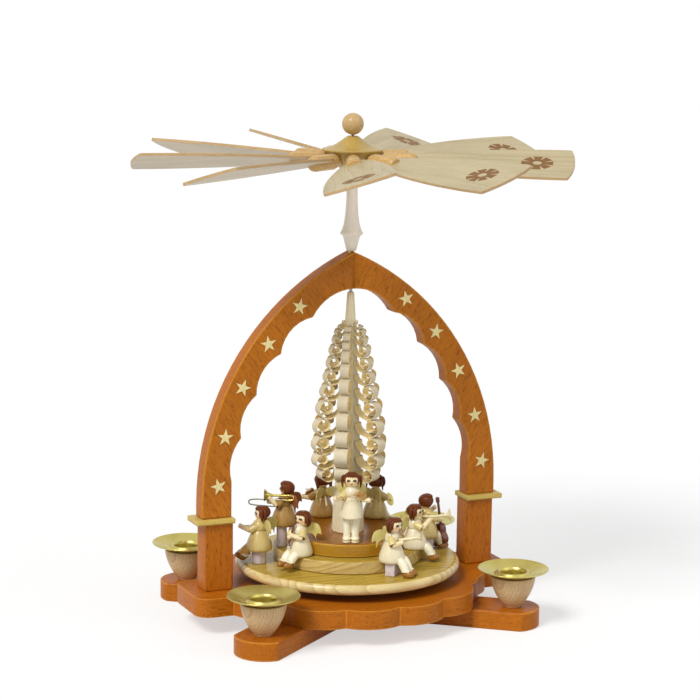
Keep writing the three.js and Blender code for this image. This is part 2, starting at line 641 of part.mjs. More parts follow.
function angels() {
  const hugging = [[6, 8, 18], [11.5, 1.5, 21]];
  const player = (sign) => hugging.map(([x, y, z]) => [x, sign * y, z]);
  const honeyCut = bar(HONEY_RADIUS + GAP, STEP_TOP - 20, HONEY_TOP + GAP, 40);
  const figures = {
    angel_standing: placed(
      standing({ reach: arms([[7, 8, 20], [11, 9, 26]], [[6, -9, 18], [12, -8, 20]]).add(fiddle()) }),
      47, -110, -114, HONEY_TOP + GAP,
    ),
    angel_flute: placed(
      seated({ drop: STEP_TOP - TABLE_TOP, reach: arms(player(1), player(-1)).add(flute()) }),
      66, -157, -159, STEP_TOP + GAP,
    ).subtract(honeyCut),
    angel_singer: placed(
      seated({ drop: LOW_SEAT - TABLE_TOP, reach: arms([[7, 7, 19], [19, 3.5, 23]], [[7, -7, 19], [18, -3.5, 20]]) }),
      ...SINGER_PLACE, LOW_SEAT,
    ),
    angel_trombone: placed(
      seated({ drop: 8, reach: arms([[7, 10, 18], [13, 9.4, 23]], [[8, -7, 19], [15, 5, 18.5]]) }),
      ...TROMBONE_PLACE, TALL_SEAT,
    ),
    angel_fiddle: placed(
      seated({ drop: 8, reach: arms([[7, 8, 20], [12, 8, 25]], [[6, -9, 18], [12, -6, 20]]).add(fiddle()) }),
      57.9, 92, 92, HONEY_TOP + GAP,
    ),
    angel_cymbals: placed(
      seated({
        drop: 8,
        reach: arms([[5, 9, 18], [10, 11, 17]], [[5, -9, 18], [10, -11, 17]]).add(cymbal(11)).add(cymbal(-11)),
      }),
      57, 38, 38, HONEY_TOP + GAP,
    ),
    angel_horn: placed(
      seated({ drop: LOW_SEAT - TABLE_TOP, reach: arms([[6, 8, 18], [13, 4, 22]], [[5, -8.5, 17], [10, -3, 21]]).add(horn()) }),
      79, -82, -46, LOW_SEAT,
    ),
    angel_trumpet: placed(
      seated({ drop: STEP_TOP - TABLE_TOP, reach: arms([[7, 7, 23], [15, 3, 30]], [[7, -7, 23], [13, -3, 29]]).add(trumpet()) }),
      ...TRUMPET_PLACE, STEP_TOP + GAP,
    ).subtract(honeyCut),
    angel_bass: placed(
      seated({ drop: LOW_SEAT - TABLE_TOP, reach: arms([[6, 8, 20], [13, 6, 25]], [[7, -8, 16], [14, -4, 16]]) }),
      80, -5, 8, LOW_SEAT,
    ),
  };
  const playTrombone = (grow) => placed(trombone(grow), ...TROMBONE_PLACE, TALL_SEAT);
  const [bx, by] = polar(99, -4.5);
  const playBass = (grow) => moved(bass(grow), { x: bx, y: by, z: TABLE_TOP + GAP, turn: 8, tilt: -9 });
  figures.angel_trombone = largest(figures.angel_trombone.subtract(playTrombone(GAP)));
  figures.angel_bass = largest(figures.angel_bass.subtract(playBass(GAP)));
  for (const [name, body] of Object.entries(figures)) piece(name, body, FIGURE);
  piece("trombone", playTrombone(0), BRASS);
  piece("double_bass", playBass(0), HONEY);
}

// Stools: turned or sawn blocks glued to the turntable
function stools() {
  const z0 = TABLE_TOP + GAP;
  const z1 = z0 + STOOL_HEIGHT;
  const block = (half) => slab([[-half, -7.5], [half, -7.5], [half, 7.5], [-half, 7.5]], z0, z1);
  const place = (body, radius, azimuth, turn) => {
    const [x, y] = polar(radius, azimuth);
    return moved(body, { x, y, turn });
  };
  const eight = Array.from({ length: 8 }, (_, i) => polar(7, 22.5 + 45 * i));
  piece("stool_singer", place(slab(eight, z0, z1), ...SINGER_PLACE), LILAC);
  piece("stool_trombone", place(bar(5, STEP_TOP + GAP, TALL_SEAT - GAP, 12), 65, 170, 150), LILAC);
  piece("stool_horn", place(block(4.6), 80.5, -82, -46), LILAC);
  piece("stool_bass", place(block(4.6), 80, -5, 8), LILAC);
}

// Music movement: barrel, pinned cylinder, comb and governor on a bedplate, wound by a key at the back
function gearOutline(pitch, teeth, phase) {
  const step = 360 / teeth;
  const points = [];
  for (let i = 0; i < teeth; i++) {
    const at = phase + i * step;
    points.push(polar(pitch - 0.75, at - step * 0.25));
    points.push(polar(pitch + 0.45, at - step * 0.12));
    points.push(polar(pitch + 0.45, at + step * 0.12));
    points.push(polar(pitch - 0.75, at + step * 0.25));
  }
  return points;
}

// Turns a solid that stands along +Z to lie along +Y, with its outline's first axis still along +X.
const alongY = (body, x) => body.rotate([-90, 0, 0]).translate([x, 0, MOVEMENT_Z]);

function musicMovement() {
  const bedX = POCKET_X + 3;
  const bed = box(-bedX, bedX, POCKET_FRONT - 3, POCKET_BACK + 3, BED_TOP - BED_THICK, BED_TOP);
  const cheeks = [64, 90].map((y) => box(-20, 8, y, y + 2, BED_TOP - 1, MOVEMENT_Z + 3.5));
  const hole = (x) => alongY(bar(ARBOR_RADIUS + GAP, 60, 94, 10), x);
  const pivot = bar(1.1, BED_TOP - 1.2, BED_TOP + 1, 8).translate([GOVERNOR_X, GOVERNOR_Y, 0]);
  const frame = joined([bed, ...cheeks]).subtract(hole(BARREL_X)).subtract(hole(CYLINDER_X)).subtract(pivot);
  piece("movement_frame", frame, STEEL);

  const barrel = joined([
    slab(gearOutline(BARREL_RADIUS, BARREL_TEETH, 0), 67, 70),
    bar(BARREL_RADIUS - 0.9, 69, 88, 20),
    bar(ARBOR_RADIUS, 63.5, 93.5, 10),
  ]);
  piece("spring_barrel", alongY(barrel, BARREL_X), BRASS);

  const half = 180 / CYLINDER_TEETH;
  const cylinder = joined([
    slab(gearOutline(CYLINDER_RADIUS, CYLINDER_TEETH, half), 67, 70),
    bar(CYLINDER_RADIUS - 0.9, 69, 88, 16),
    bar(ARBOR_RADIUS, 63.5, 93.5, 10),
    ...Array.from({ length: 9 }, (_, i) => {
      const [x, y] = polar(CYLINDER_RADIUS - 1, 77 * i);
      const [px, py] = polar(CYLINDER_RADIUS - 0.3, 77 * i);
      return rod([x, y, 72 + 1.7 * i], [px, py, 72 + 1.7 * i], 0.3, 0.25, 4);
    }),
  ]);
  piece("pinned_cylinder", alongY(cylinder, CYLINDER_X), BRASS);

  const toothStart = CYLINDER_X + CYLINDER_RADIUS + 0.2;
  const combTeeth = Array.from({ length: 9 }, (_, i) =>
    box(toothStart, toothStart + 8, 71.4 + 1.7 * i, 72.6 + 1.7 * i, MOVEMENT_Z, MOVEMENT_Z + 0.8),
  );
  const combBack = box(toothStart + 7, toothStart + 14, 70.5, 87, BED_TOP + GAP, MOVEMENT_Z + 0.8);
  piece("comb", joined([combBack, ...combTeeth]), STEEL);

  const governor = joined([
    bar(0.8, BED_TOP - 0.9, MOVEMENT_Z + 6, 8),
    bar(1.7, BED_TOP + 3, BED_TOP + 8, 10),
    box(-3.4, 3.4, -0.5, 0.5, MOVEMENT_Z + 1.5, MOVEMENT_Z + 5.5),
  ]).translate([GOVERNOR_X, GOVERNOR_Y, 0]);
  piece("governor", governor, BRASS);

  const bow = slab(
    [...corner(-6, -3, 2.5, 180, 3), ...corner(6, -3, 2.5, 270, 3), ...corner(6, 3, 2.5, 0, 3), ...corner(-6, 3, 2.5, 90, 3)],
    131,
    133.5,
  );
  piece("winding_key", alongY(bar(KEY_RADIUS, 94, 132, 10).add(bow), BARREL_X), BRASS);
}

crossBoards();
basePlate();
candleHolders();
postsAndCollars();
arch();
spindle();
turntable();
tree();
rotorHead();
blades();
angels();
stools();
musicMovement();

export default root;
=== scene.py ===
"""Looks of a musical Christmas pyramid.

Cherry-stained boards and arch, a turntable of pale ash with nine lacquered wooden angels, a tree of curled
shavings, brass drip dishes and nine thin wooden blades with a flower inlay. Lengths are in millimetres
until a piece is finished, but in metres inside the materials. +Z is up and the front is -Y. Colours are given
as they look on a screen, from 0 to 255.
"""

import math
import random

import bmesh
import bpy
from mathutils import Matrix, Vector


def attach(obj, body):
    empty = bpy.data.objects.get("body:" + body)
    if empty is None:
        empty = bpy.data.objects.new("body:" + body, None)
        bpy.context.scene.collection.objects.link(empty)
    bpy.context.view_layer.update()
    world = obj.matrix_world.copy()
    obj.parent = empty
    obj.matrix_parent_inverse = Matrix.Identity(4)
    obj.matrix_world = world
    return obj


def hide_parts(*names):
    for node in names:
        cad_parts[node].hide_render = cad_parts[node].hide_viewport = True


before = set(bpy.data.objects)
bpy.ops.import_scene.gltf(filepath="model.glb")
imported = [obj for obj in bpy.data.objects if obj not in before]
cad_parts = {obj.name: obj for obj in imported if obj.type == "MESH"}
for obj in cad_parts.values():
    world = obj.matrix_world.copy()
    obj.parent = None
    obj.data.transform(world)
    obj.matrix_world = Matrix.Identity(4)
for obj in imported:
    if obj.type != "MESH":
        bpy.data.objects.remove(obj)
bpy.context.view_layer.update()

MM = 0.001
UP = (0, 0, 1)

# Where things stand, the same as in the solids
GAP = 0.3
BOARD_AZIMUTH = 38.4
CUP_FOOT = 18.0
CANDLE_X = 127.5
CANDLE_Y = 101.0
ARCH_FRONT = -8.5
ROD_BORE = 1.8
TABLE_RADIUS = 108.0
TABLE_BOTTOM = 44.3
TABLE_TOP = 54.5
STEP_RADIUS = 71.5
STEP_TOP = 67.0
HONEY_RADIUS = 57.0
HONEY_TOP = 80.0
LOW_SEAT = 67.3
TALL_SEAT = 87.0
TRUNK_FOOT_RADIUS = 15.75
TRUNK_TOP_RADIUS = 5.5
TREE_TOP = 280.0
TREE_TIP = 312.0
BALL_RADIUS = 10.25
BALL_Z = 470.8
BLADES = 9
BLADE_FIRST_AZIMUTH = -32.0
BLADE_AXIS_Z = 437.6
BLADE_PITCH = 17.0


# Materials


def srgb(red, green, blue):
    """A colour as seen on a screen, in the linear values that a shader takes."""

    def linear(value):
        value /= 255
        return value / 12.92 if value <= 0.04045 else ((value + 0.055) / 1.055) ** 2.4

    return (linear(red), linear(green), linear(blue), 1.0)


def wire(tree, socket, value):
    """Gives an input its value: a number, a colour, or the output of another node that is wired to it."""
    if isinstance(value, bpy.types.NodeSocket):
        tree.links.new(value, socket)
    else:
        socket.default_value = value


def add(tree, kind, inputs=None, **settings):
    """Adds a node with its settings and inputs."""
    made = tree.nodes.new("ShaderNode" + kind)
    for name, value in settings.items():
        setattr(made, name, value)
    for name, value in (inputs or {}).items():
        wire(tree, made.inputs[name], value)
    return made


def calc(tree, operation, *values):
    """A math node's result."""
    made = tree.nodes.new("ShaderNodeMath")
    made.operation = operation
    for socket, value in zip(made.inputs, values):
        wire(tree, socket, value)
    return made.outputs[0]


def times(tree, first, second):
    return calc(tree, "MULTIPLY", first, second)


def plus(tree, first, second):
    return calc(tree, "ADD", first, second)


def hypotenuse(tree, first, second):
    squares = plus(tree, calc(tree, "POWER", first, 2.0), calc(tree, "POWER", second, 2.0))
    return calc(tree, "SQRT", squares)


def blended(tree, share, first, second):
    """Two colours mixed by a share from 0 to 1."""
    made = tree.nodes.new("ShaderNodeMix")
    made.data_type = "RGBA"
    for name, value in (("Factor_Float", share), ("A_Color", first), ("B_Color", second)):
        wire(tree, next(s for s in made.inputs if s.identifier == name), value)
    return next(s for s in made.outputs if s.identifier == "Result_Color")


def stretched(tree, vector, factors):
    """A place multiplied along each axis, which squeezes the pattern that is laid on it."""
    return add(tree, "VectorMath", {0: vector, 1: factors}, operation="MULTIPLY").outputs[0]


def noise(tree, vector, scale, detail, **more):
    return add(tree, "TexNoise", {"Vector": vector, "Scale": scale, "Detail": detail, **more}).outputs["Fac"]


def remapped(tree, value, low, high, to_low=0.0, to_high=1.0, interpolation_type="LINEAR"):
    """A value taken from one range to another, and kept inside it."""
    ranges = {"Value": value, "From Min": low, "From Max": high, "To Min": to_low, "To Max": to_high}
    return add(tree, "MapRange", ranges, interpolation_type=interpolation_type).outputs[0]


def group(name, outputs, sizes=()):
    """A new shader group that takes a place and some sizes, and the sockets of its two end nodes."""
    tree = bpy.data.node_groups.new(name, "ShaderNodeTree")
    tree.interface.new_socket("Vector", in_out="INPUT", socket_type="NodeSocketVector")
    for socket in sizes:
        tree.interface.new_socket(socket, in_out="INPUT", socket_type="NodeSocketFloat")
    for socket in outputs:
        tree.interface.new_socket(socket, in_out="OUTPUT", socket_type="NodeSocketFloat")
    return tree, tree.nodes.new("NodeGroupInput").outputs, tree.nodes.new("NodeGroupOutput").inputs


def growth_group():
    """Solid wood: yearly rings round a pith that runs along X, long fibres and dark flecks along them."""
    tree, given, result = group(
        "wood growth",
        ["Rings", "Fibres", "Flecks", "Blotches"],
        ["Ring width", "Wobble", "Fleck length", "Fleck width"],
    )
    vector = given["Vector"]
    sway = noise(tree, stretched(tree, vector, (9.0, 38.0, 38.0)), 1.0, 2.0)
    sway = times(tree, times(tree, calc(tree, "SUBTRACT", sway, 0.5), given["Wobble"]), 4.0)
    across = add(tree, "SeparateXYZ", {"Vector": vector}).outputs
    distance = plus(tree, hypotenuse(tree, across["Y"], across["Z"]), sway)
    year = calc(tree, "DIVIDE", distance, given["Ring width"])
    share = calc(tree, "FRACT", year)
    late = calc(tree, "POWER", share, 2.6)
    edge = remapped(tree, share, 0.88, 1.0, 1.0, 0.0, "SMOOTHSTEP")
    which_year = calc(tree, "FLOOR", year)
    good_year = add(tree, "TexWhiteNoise", {"W": which_year}, noise_dimensions="1D").outputs["Value"]
    strength = plus(tree, times(tree, good_year, 0.6), 0.4)
    wire(tree, result["Rings"], times(tree, times(tree, late, edge), strength))
    thin = stretched(tree, vector, (36.0, 800.0, 800.0))
    wire(tree, result["Fibres"], noise(tree, thin, 1.0, 3.0, Roughness=0.6))
    width = given["Fleck width"]
    size = add(tree, "CombineXYZ", {"X": given["Fleck length"], "Y": width, "Z": width}).outputs[0]
    short = add(tree, "VectorMath", {0: vector, 1: size}, operation="DIVIDE").outputs[0]
    dashes = noise(tree, short, 1.0, 1.0)
    wire(tree, result["Flecks"], remapped(tree, dashes, 0.56, 0.7, interpolation_type="SMOOTHSTEP"))
    wire(tree, result["Blotches"], noise(tree, stretched(tree, vector, (14.0, 45.0, 45.0)), 1.0, 1.0))
    return tree


def wear_group():
    """Where hands and cloths rub: a mask that follows the marked edges, broken up, and fine scuffs."""
    tree, given, result = group("edge wear", ["Edges", "Scuffs"])
    marked = add(tree, "Attribute", attribute_name="edge").outputs["Fac"]
    breaks = noise(tree, given["Vector"], 260.0, 3.0)
    wire(tree, result["Edges"], times(tree, times(tree, marked, breaks), 1.1))
    wire(tree, result["Scuffs"], noise(tree, given["Vector"], 900.0, 4.0))
    return tree


def lacquer_group():
    """Brushed lacquer: slow changes of tone, fine brush ridges, and a few thin spots."""
    tree, given, result = group("brushed lacquer", ["Tone", "Ridges", "Thin spots"])
    vector = given["Vector"]
    wire(tree, result["Tone"], noise(tree, vector, 130.0, 2.0))
    wire(tree, result["Ridges"], noise(tree, stretched(tree, vector, (2600.0, 2600.0, 500.0)), 1.0, 2.0))
    wire(tree, result["Thin spots"], remapped(tree, noise(tree, vector, 700.0, 2.0), 0.58, 0.75))
    return tree


def lathe_group():
    """Spun metal: fine rings round the Z axis and a soft tarnish."""
    tree, given, result = group("spun metal", ["Rings", "Tarnish"])
    across = add(tree, "SeparateXYZ", {"Vector": given["Vector"]}).outputs
    radius = times(tree, hypotenuse(tree, across["X"], across["Y"]), 2600.0)
    rings = add(tree, "TexNoise", {"W": radius, "Scale": 1.0, "Detail": 2.0}, noise_dimensions="1D")
    wire(tree, result["Rings"], rings.outputs["Fac"])
    wire(tree, result["Tarnish"], noise(tree, given["Vector"], 55.0, 3.0))
    return tree


GROWTH = growth_group()
WEAR = wear_group()
LACQUER = lacquer_group()
SPUN = lathe_group()


def blank_material(name, roughness, metallic=0.0, coat=0.0, coat_roughness=0.15, specular=0.5):
    material = bpy.data.materials.new(name)
    material.use_nodes = True
    shader = material.node_tree.nodes["Principled BSDF"]
    shader.inputs["Roughness"].default_value = roughness
    shader.inputs["Metallic"].default_value = metallic
    shader.inputs["Coat Weight"].default_value = coat
    shader.inputs["Coat Roughness"].default_value = coat_roughness
    shader.inputs["Specular IOR Level"].default_value = specular
    return material, material.node_tree, shader


def own_coordinates(tree):
    return add(tree, "TexCoord").outputs["Object"]


def bump(tree, shader, height, distance, strength):
    made = add(tree, "Bump", {"Height": height, "Distance": distance, "Strength": strength})
    wire(tree, shader.inputs["Normal"], made.outputs["Normal"])


# Turns that bring the grain's direction to X
GRAIN_X = (0, 0, 0)
GRAIN_Z = (0, math.radians(90), 0)


def wood(
    name,
    early,
    late,
    grain=GRAIN_X,
    pith=(0.0, 0.02, -0.05),
    ring_width=0.004,
    wobble=0.002,
    ring_share=0.6,
    fleck_share=0.3,
    fleck=(0.004, 0.0007),
    fibre_share=0.4,
    roughness=0.45,
    coat=0.1,
    relief=0.00003,
    worn=None,
    specular=0.2,
):
    """Wood cut from a log whose pith runs along the grain, at an offset from the piece."""
    early, late = srgb(*early), srgb(*late)
    deep = (*(0.5 * c for c in late[:3]), 1.0)
    material, tree, shader = blank_material(name, roughness, coat=coat, coat_roughness=0.2, specular=specular)
    coordinates = own_coordinates(tree)
    log = add(tree, "Mapping", {"Vector": coordinates, "Rotation": grain, "Location": pith}).outputs[0]
    sizes = {"Ring width": ring_width, "Wobble": wobble, "Fleck length": fleck[0], "Fleck width": fleck[1]}
    growth = add(tree, "Group", {"Vector": log, **sizes}, node_tree=GROWTH).outputs
    colour = blended(tree, times(tree, growth["Rings"], ring_share), early, late)
    colour = blended(tree, remapped(tree, growth["Fibres"], 0.35, 0.7, 0.0, fibre_share), colour, late)
    colour = blended(tree, times(tree, growth["Flecks"], fleck_share), colour, deep)
    tone = remapped(tree, growth["Blotches"], 0.3, 0.7, 0.94, 1.05)
    colour = add(tree, "VectorMath", {0: colour, "Scale": tone}, operation="SCALE").outputs[0]
    wear = add(tree, "Group", {"Vector": coordinates}, node_tree=WEAR).outputs
    if worn:
        colour = blended(tree, wear["Edges"], colour, srgb(*worn))
    wire(tree, shader.inputs["Base Color"], colour)
    rough = plus(tree, times(tree, growth["Fibres"], 0.12), times(tree, wear["Scuffs"], 0.05))
    wire(tree, shader.inputs["Roughness"], plus(tree, rough, roughness - 0.08))
    bump(tree, shader, calc(tree, "SUBTRACT", growth["Fibres"], growth["Flecks"]), relief, 0.5)
    return material


def lacquer(name, colour, under, roughness=0.3, coat=0.3, ridge=0.00004, specular=0.25):
    """Opaque lacquer on turned wood, with the wood showing a little where it is thin."""
    material, tree, shader = blank_material(name, roughness, coat=coat, coat_roughness=0.1, specular=specular)
    under = srgb(*under)
    paint = add(tree, "Group", {"Vector": own_coordinates(tree)}, node_tree=LACQUER).outputs
    mixed = blended(tree, times(tree, paint["Thin spots"], 0.25), srgb(*colour), under)
    mixed = blended(tree, times(tree, paint["Tone"], 0.35), mixed, under)
    wire(tree, shader.inputs["Base Color"], mixed)
    wire(tree, shader.inputs["Roughness"], plus(tree, times(tree, paint["Ridges"], 0.16), roughness - 0.08))
    bump(tree, shader, paint["Ridges"], ridge, 0.6)
    return material


def metal(name, colour, dull, roughness, centre=(0.0, 0.0, 0.0)):
    """Polished metal, spun round its own upright axis."""
    material, tree, shader = blank_material(name, roughness, metallic=1.0)
    from_centre = {"Vector": own_coordinates(tree), "Location": tuple(-c for c in centre)}
    middle = add(tree, "Mapping", from_centre).outputs[0]
    spun = add(tree, "Group", {"Vector": middle}, node_tree=SPUN).outputs
    wire(tree, shader.inputs["Base Color"], blended(tree, spun["Tarnish"], srgb(*colour), srgb(*dull)))
    wire(tree, shader.inputs["Roughness"], plus(tree, times(tree, spun["Tarnish"], 0.2), roughness - 0.1))
    bump(tree, shader, spun["Rings"], 0.00002, 0.35)
    return material


# Light and dark of each wood. The boards, posts and arch are beech with a cherry stain.
STAIN = (188, 112, 22), (152, 80, 8)
STAIN_TOP = (180, 102, 14), (148, 72, 6)
STAIN_EDGE = (184, 106, 18), (152, 78, 10)
STAIN_WORN = (206, 138, 44)
GILT = (208, 182, 96), (176, 144, 62)
STAR_GOLD = (240, 226, 166), (214, 188, 116)
CUP = (214, 184, 138), (168, 126, 80)
DISC = (196, 166, 72), (148, 118, 32)
DISC_RIM = (230, 209, 150), (172, 136, 66)
STEP = (194, 164, 72), (148, 118, 34)
STEP_SIDE = (216, 190, 122), (154, 118, 52)
HONEY = (156, 98, 20), (114, 64, 10)
HONEY_SIDE = (180, 132, 28), (142, 94, 14)
HONEY_WORN = (214, 166, 60)
TRUNK = (238, 227, 192), (212, 192, 148)
SHAVING = (218, 207, 180), (198, 178, 134)
# The shavings' inner sides: painted light, paler and more golden for the light that shines through the thin
# wood and bounces inside the rolls
SHAVING_INSIDE_LIT = (250, 232, 178), (238, 208, 136)
SLEEVE = (246, 238, 222), (224, 210, 184)
HUB = (192, 162, 88), (152, 118, 50)
BALL = (208, 178, 126), (172, 130, 80)
VANE = (194, 180, 144), (164, 142, 98)
# The vanes' undersides: painted shade, a paler, greyer colour for how the floor lights them from below
VANE_UNDER_SHADE = (206, 194, 170), (184, 166, 138)
VANE_EDGE = (198, 166, 120), (158, 122, 80)
PEG = (216, 180, 118), (164, 120, 60)
INLAY = (136, 98, 52), (100, 66, 32)
STOOL = (218, 206, 208), (188, 170, 168)
BRASS = (214, 200, 116), (176, 160, 84)
MOVEMENT_BRASS = (206, 186, 100), (160, 138, 64)
SLIDE_STEEL = (176, 176, 160), (126, 126, 108)
STEEL = (170, 170, 168), (120, 120, 118)


# Shapes


def arc_run(bm, vert, end, bulge, steps):
    """Spins one end of a line along an arc that stands out `bulge` to the right of its run."""
    start = vert.co.copy()
    end = Vector((end[0], end[1], 0))
    chord = end - start
    radius = chord.length_squared / (8 * abs(bulge)) + abs(bulge) / 2
    right = Vector((chord.y, -chord.x, 0)).normalized() * math.copysign(1, bulge)
    centre = (start + end) / 2 - right * (radius - abs(bulge))
    angle = 2 * math.asin(min(1.0, chord.length / 2 / radius)) * math.copysign(1, bulge)
    spun = bmesh.ops.spin(bm, geom=[vert], cent=centre, axis=UP, angle=angle, steps=steps)
    return next(g for g in spun["geom_last"] if isinstance(g, bmesh.types.BMVert))


def traced(start, runs, steps):
    """A flat face from its outline, run anticlockwise. A run is (x, y), or (x, y, bulge) for an arc."""
    bm = bmesh.new()
    first = vert = bm.verts.new((*start, 0))
    for x, y, *bulge in runs:
        if bulge:
            vert = arc_run(bm, vert, (x, y), bulge[0], steps)
        else:
            onward = bm.verts.new((x, y, 0))
            bm.edges.new((vert, onward))
            vert = onward
    if (vert.co - first.co).length > 0.01:
        bm.edges.new((vert, first))
    bmesh.ops.remove_doubles(bm, verts=bm.verts, dist=0.005)
    bmesh.ops.contextual_create(bm, geom=bm.edges)
    return bm


def raise_flat(bm, low, high):
    """Gives a flat face its thickness, from one height to another."""
    raised = bmesh.ops.extrude_face_region(bm, geom=bm.faces[:])
    top = [g for g in raised["geom"] if isinstance(g, bmesh.types.BMVert)]
    kept = set(top)
    bmesh.ops.translate(bm, verts=top, vec=(0, 0, high))
    bmesh.ops.translate(bm, verts=[v for v in bm.verts if v not in kept], vec=(0, 0, low))
    bmesh.ops.recalc_face_normals(bm, faces=bm.faces)
    return bm


def soften(bm, width, segments=2, angle=32, keep=None):
    """Rounds the sharp edges and marks them for the wear in the materials."""
    layer = bm.verts.layers.float.get("edge") or bm.verts.layers.float.new("edge")
    bm.normal_update()
    sharp = [
        e
        for e in bm.edges
        if len(e.link_faces) == 2 and e.calc_face_angle(0) > math.radians(angle) and (keep is None or keep(e))
    ]
    made = bmesh.ops.bevel(
        bm,
        geom=sharp,
        offset=width,
        offset_type="OFFSET",
        affect="EDGES",
        segments=segments,
        profile=0.5,
        material=-1,
        clamp_overlap=True,
    )
    for vert in made["verts"]:
        if vert.is_valid:
            vert[layer] = 1.0
    return bm


def turned(profile, segments, ease=0.0, ease_segments=3):
    """A turned solid: (radius, height) points swept round the Z axis, with its corners eased."""
    bm = bmesh.new()
    verts = [bm.verts.new((r, 0, z)) for r, z in profile]
    edges = [bm.edges.new(pair) for pair in zip(verts, verts[1:])]
    bmesh.ops.spin(
        bm, geom=verts + edges, cent=(0, 0, 0), axis=UP, angle=2 * math.pi, steps=segments, use_merge=True
    )
    bmesh.ops.remove_doubles(bm, verts=bm.verts, dist=0.0005)
    bmesh.ops.recalc_face_normals(bm, faces=bm.faces)
    if ease:
        soften(bm, ease, ease_segments, 26)
    return bm


def curve_points(points, steps):
    """A smooth line through a few (radius, height) points."""
    line = [Vector((*p, 0)) for p in points]
    line = [2 * line[0] - line[1], *line, 2 * line[-1] - line[-2]]
    smooth = []
    for a, b, c, d in zip(line, line[1:], line[2:], line[3:]):
        for i in range(steps):
            t = i / steps
            square = (2 * a - 5 * b + 4 * c - d) * t * t
            cube = (3 * b - a - 3 * c + d) * t**3
            p = 0.5 * (2 * b + (c - a) * t + square + cube)
            smooth.append((max(0.0, p.x), p.y))
    smooth.append((line[-2].x, line[-2].y))
    return smooth


def tube(points, radii, resolution, sides):
    """A bent bar through some points, with a radius at each."""
    curve = bpy.data.curves.new("bent bar", "CURVE")
    curve.dimensions = "3D"
    curve.bevel_depth = 1.0
    curve.bevel_resolution = sides
    curve.resolution_u = resolution
    curve.use_fill_caps = True
    spline = curve.splines.new("BEZIER")
    spline.bezier_points.add(len(points) - 1)
    for point, place, radius in zip(spline.bezier_points, points, radii):
        point.co = place
        point.radius = radius
        point.handle_left_type = point.handle_right_type = "AUTO"
    holder = bpy.data.objects.new("bent bar", curve)
    bm = bmesh.new()
    bm.from_mesh(holder.to_mesh())
    holder.to_mesh_clear()
    bpy.data.objects.remove(holder)
    bpy.data.curves.remove(curve)
    bmesh.ops.remove_doubles(bm, verts=bm.verts, dist=0.001)
    bmesh.ops.recalc_face_normals(bm, faces=bm.faces)
    return bm


def ball(radius, centre=(0, 0, 0), stretch=(1, 1, 1), segments=24, rings=16):
    bm = bmesh.new()
    bmesh.ops.create_uvsphere(bm, u_segments=segments, v_segments=rings, radius=radius)
    bmesh.ops.scale(bm, vec=stretch, verts=bm.verts)
    bmesh.ops.translate(bm, vec=centre, verts=bm.verts)
    return bm


def block(x, y, z, centre, ease):
    """A block of wood with eased edges."""
    bm = bmesh.new()
    bmesh.ops.create_cube(bm, size=1.0)
    bmesh.ops.scale(bm, vec=(x, y, z), verts=bm.verts)
    bmesh.ops.translate(bm, vec=centre, verts=bm.verts)
    return soften(bm, ease)


def placed(bm, matrix):
    bmesh.ops.transform(bm, matrix=matrix, verts=bm.verts)
    return bm


def as_mesh(bm, name):
    mesh = bpy.data.meshes.new(name)
    bm.to_mesh(mesh)
    bm.free()
    return mesh


def in_scene(name, data):
    """A new object in the scene, for a mesh, a lamp or the camera."""
    holder = bpy.data.objects.new(name, data)
    bpy.context.scene.collection.objects.link(holder)
    return holder


def merge(*parts):
    """Several loose meshes as one. A part may come with the number of its material: (mesh, number)."""
    whole = bmesh.new()
    whole.verts.layers.float.new("edge")
    for part in parts:
        bm, number = part if isinstance(part, tuple) else (part, None)
        if number is not None:
            for face in bm.faces:
                face.material_index = number
        if not bm.verts.layers.float.get("edge"):
            bm.verts.layers.float.new("edge")
        spare = as_mesh(bm, "spare")
        whole.from_mesh(spare)
        bpy.data.meshes.remove(spare)
    return whole


def polar(radius, azimuth):
    return radius * math.cos(math.radians(azimuth)), radius * math.sin(math.radians(azimuth))


def turn_x(degrees):
    return Matrix.Rotation(math.radians(degrees), 4, "X")


def turn_y(degrees):
    return Matrix.Rotation(math.radians(degrees), 4, "Y")


def turn_z(degrees):
    return Matrix.Rotation(math.radians(degrees), 4, "Z")


def at(x=0.0, y=0.0, z=0.0):
    return Matrix.Translation((x, y, z))


def oriented(a, b):
    """The turn that brings +Z along the run from a to b, at a."""
    a, b = Vector(a), Vector(b)
    return Matrix.Translation(a) @ (b - a).to_track_quat("Z", "Y").to_matrix().to_4x4()


def finished(bm, name, body, materials, replaces=None, sharp=38):
    """Makes the piece in metres, lets it ride on its body and shades it smooth but for its sharp edges."""
    bmesh.ops.scale(bm, vec=(MM, MM, MM), verts=bm.verts)
    mesh = as_mesh(bm, name)
    for material in materials if isinstance(materials, list) else [materials]:
        mesh.materials.append(material)
    mesh.shade_smooth()
    mesh.set_sharp_from_angle(angle=math.radians(sharp))
    piece = in_scene(name, mesh)
    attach(piece, body)
    if replaces:
        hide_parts(replaces)


def dressed(bm, node, body, materials, sharp=38):
    """Finishes the one piece that takes a node's place."""
    finished(bm, node + "_dressed", body, materials, node, sharp)


def from_solid(node, width, segments=2, keep=None):
    """A CAD node's shape with its triangles merged into whole faces and its sharp edges rounded."""
    bm = bmesh.new()
    bm.from_mesh(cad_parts[node].data)
    bmesh.ops.scale(bm, vec=(1 / MM, 1 / MM, 1 / MM), verts=bm.verts)
    bmesh.ops.remove_doubles(bm, verts=bm.verts, dist=0.002)
    bmesh.ops.dissolve_limit(bm, angle_limit=math.radians(1.2), verts=bm.verts, edges=bm.edges)
    return rub_zone(soften(bm, width, segments, keep=keep))


def rub_zone(bm, width=1.2, least=8):
    """Splits a narrow zone off along the borders of the big faces, so that the wear keeps to their edges."""
    layer = bm.verts.layers.float["edge"]
    bm.normal_update()
    wide = []
    for face in bm.faces:
        looks_down = face.normal.z <= -0.9
        if face.calc_area() > least and not looks_down and all(v[layer] > 0.5 for v in face.verts):
            wide.append(face)
    bmesh.ops.inset_region(bm, faces=wide, thickness=width, use_boundary=True)
    for face in wide:
        for vert in face.verts:
            vert[layer] = 0.0
    return bm


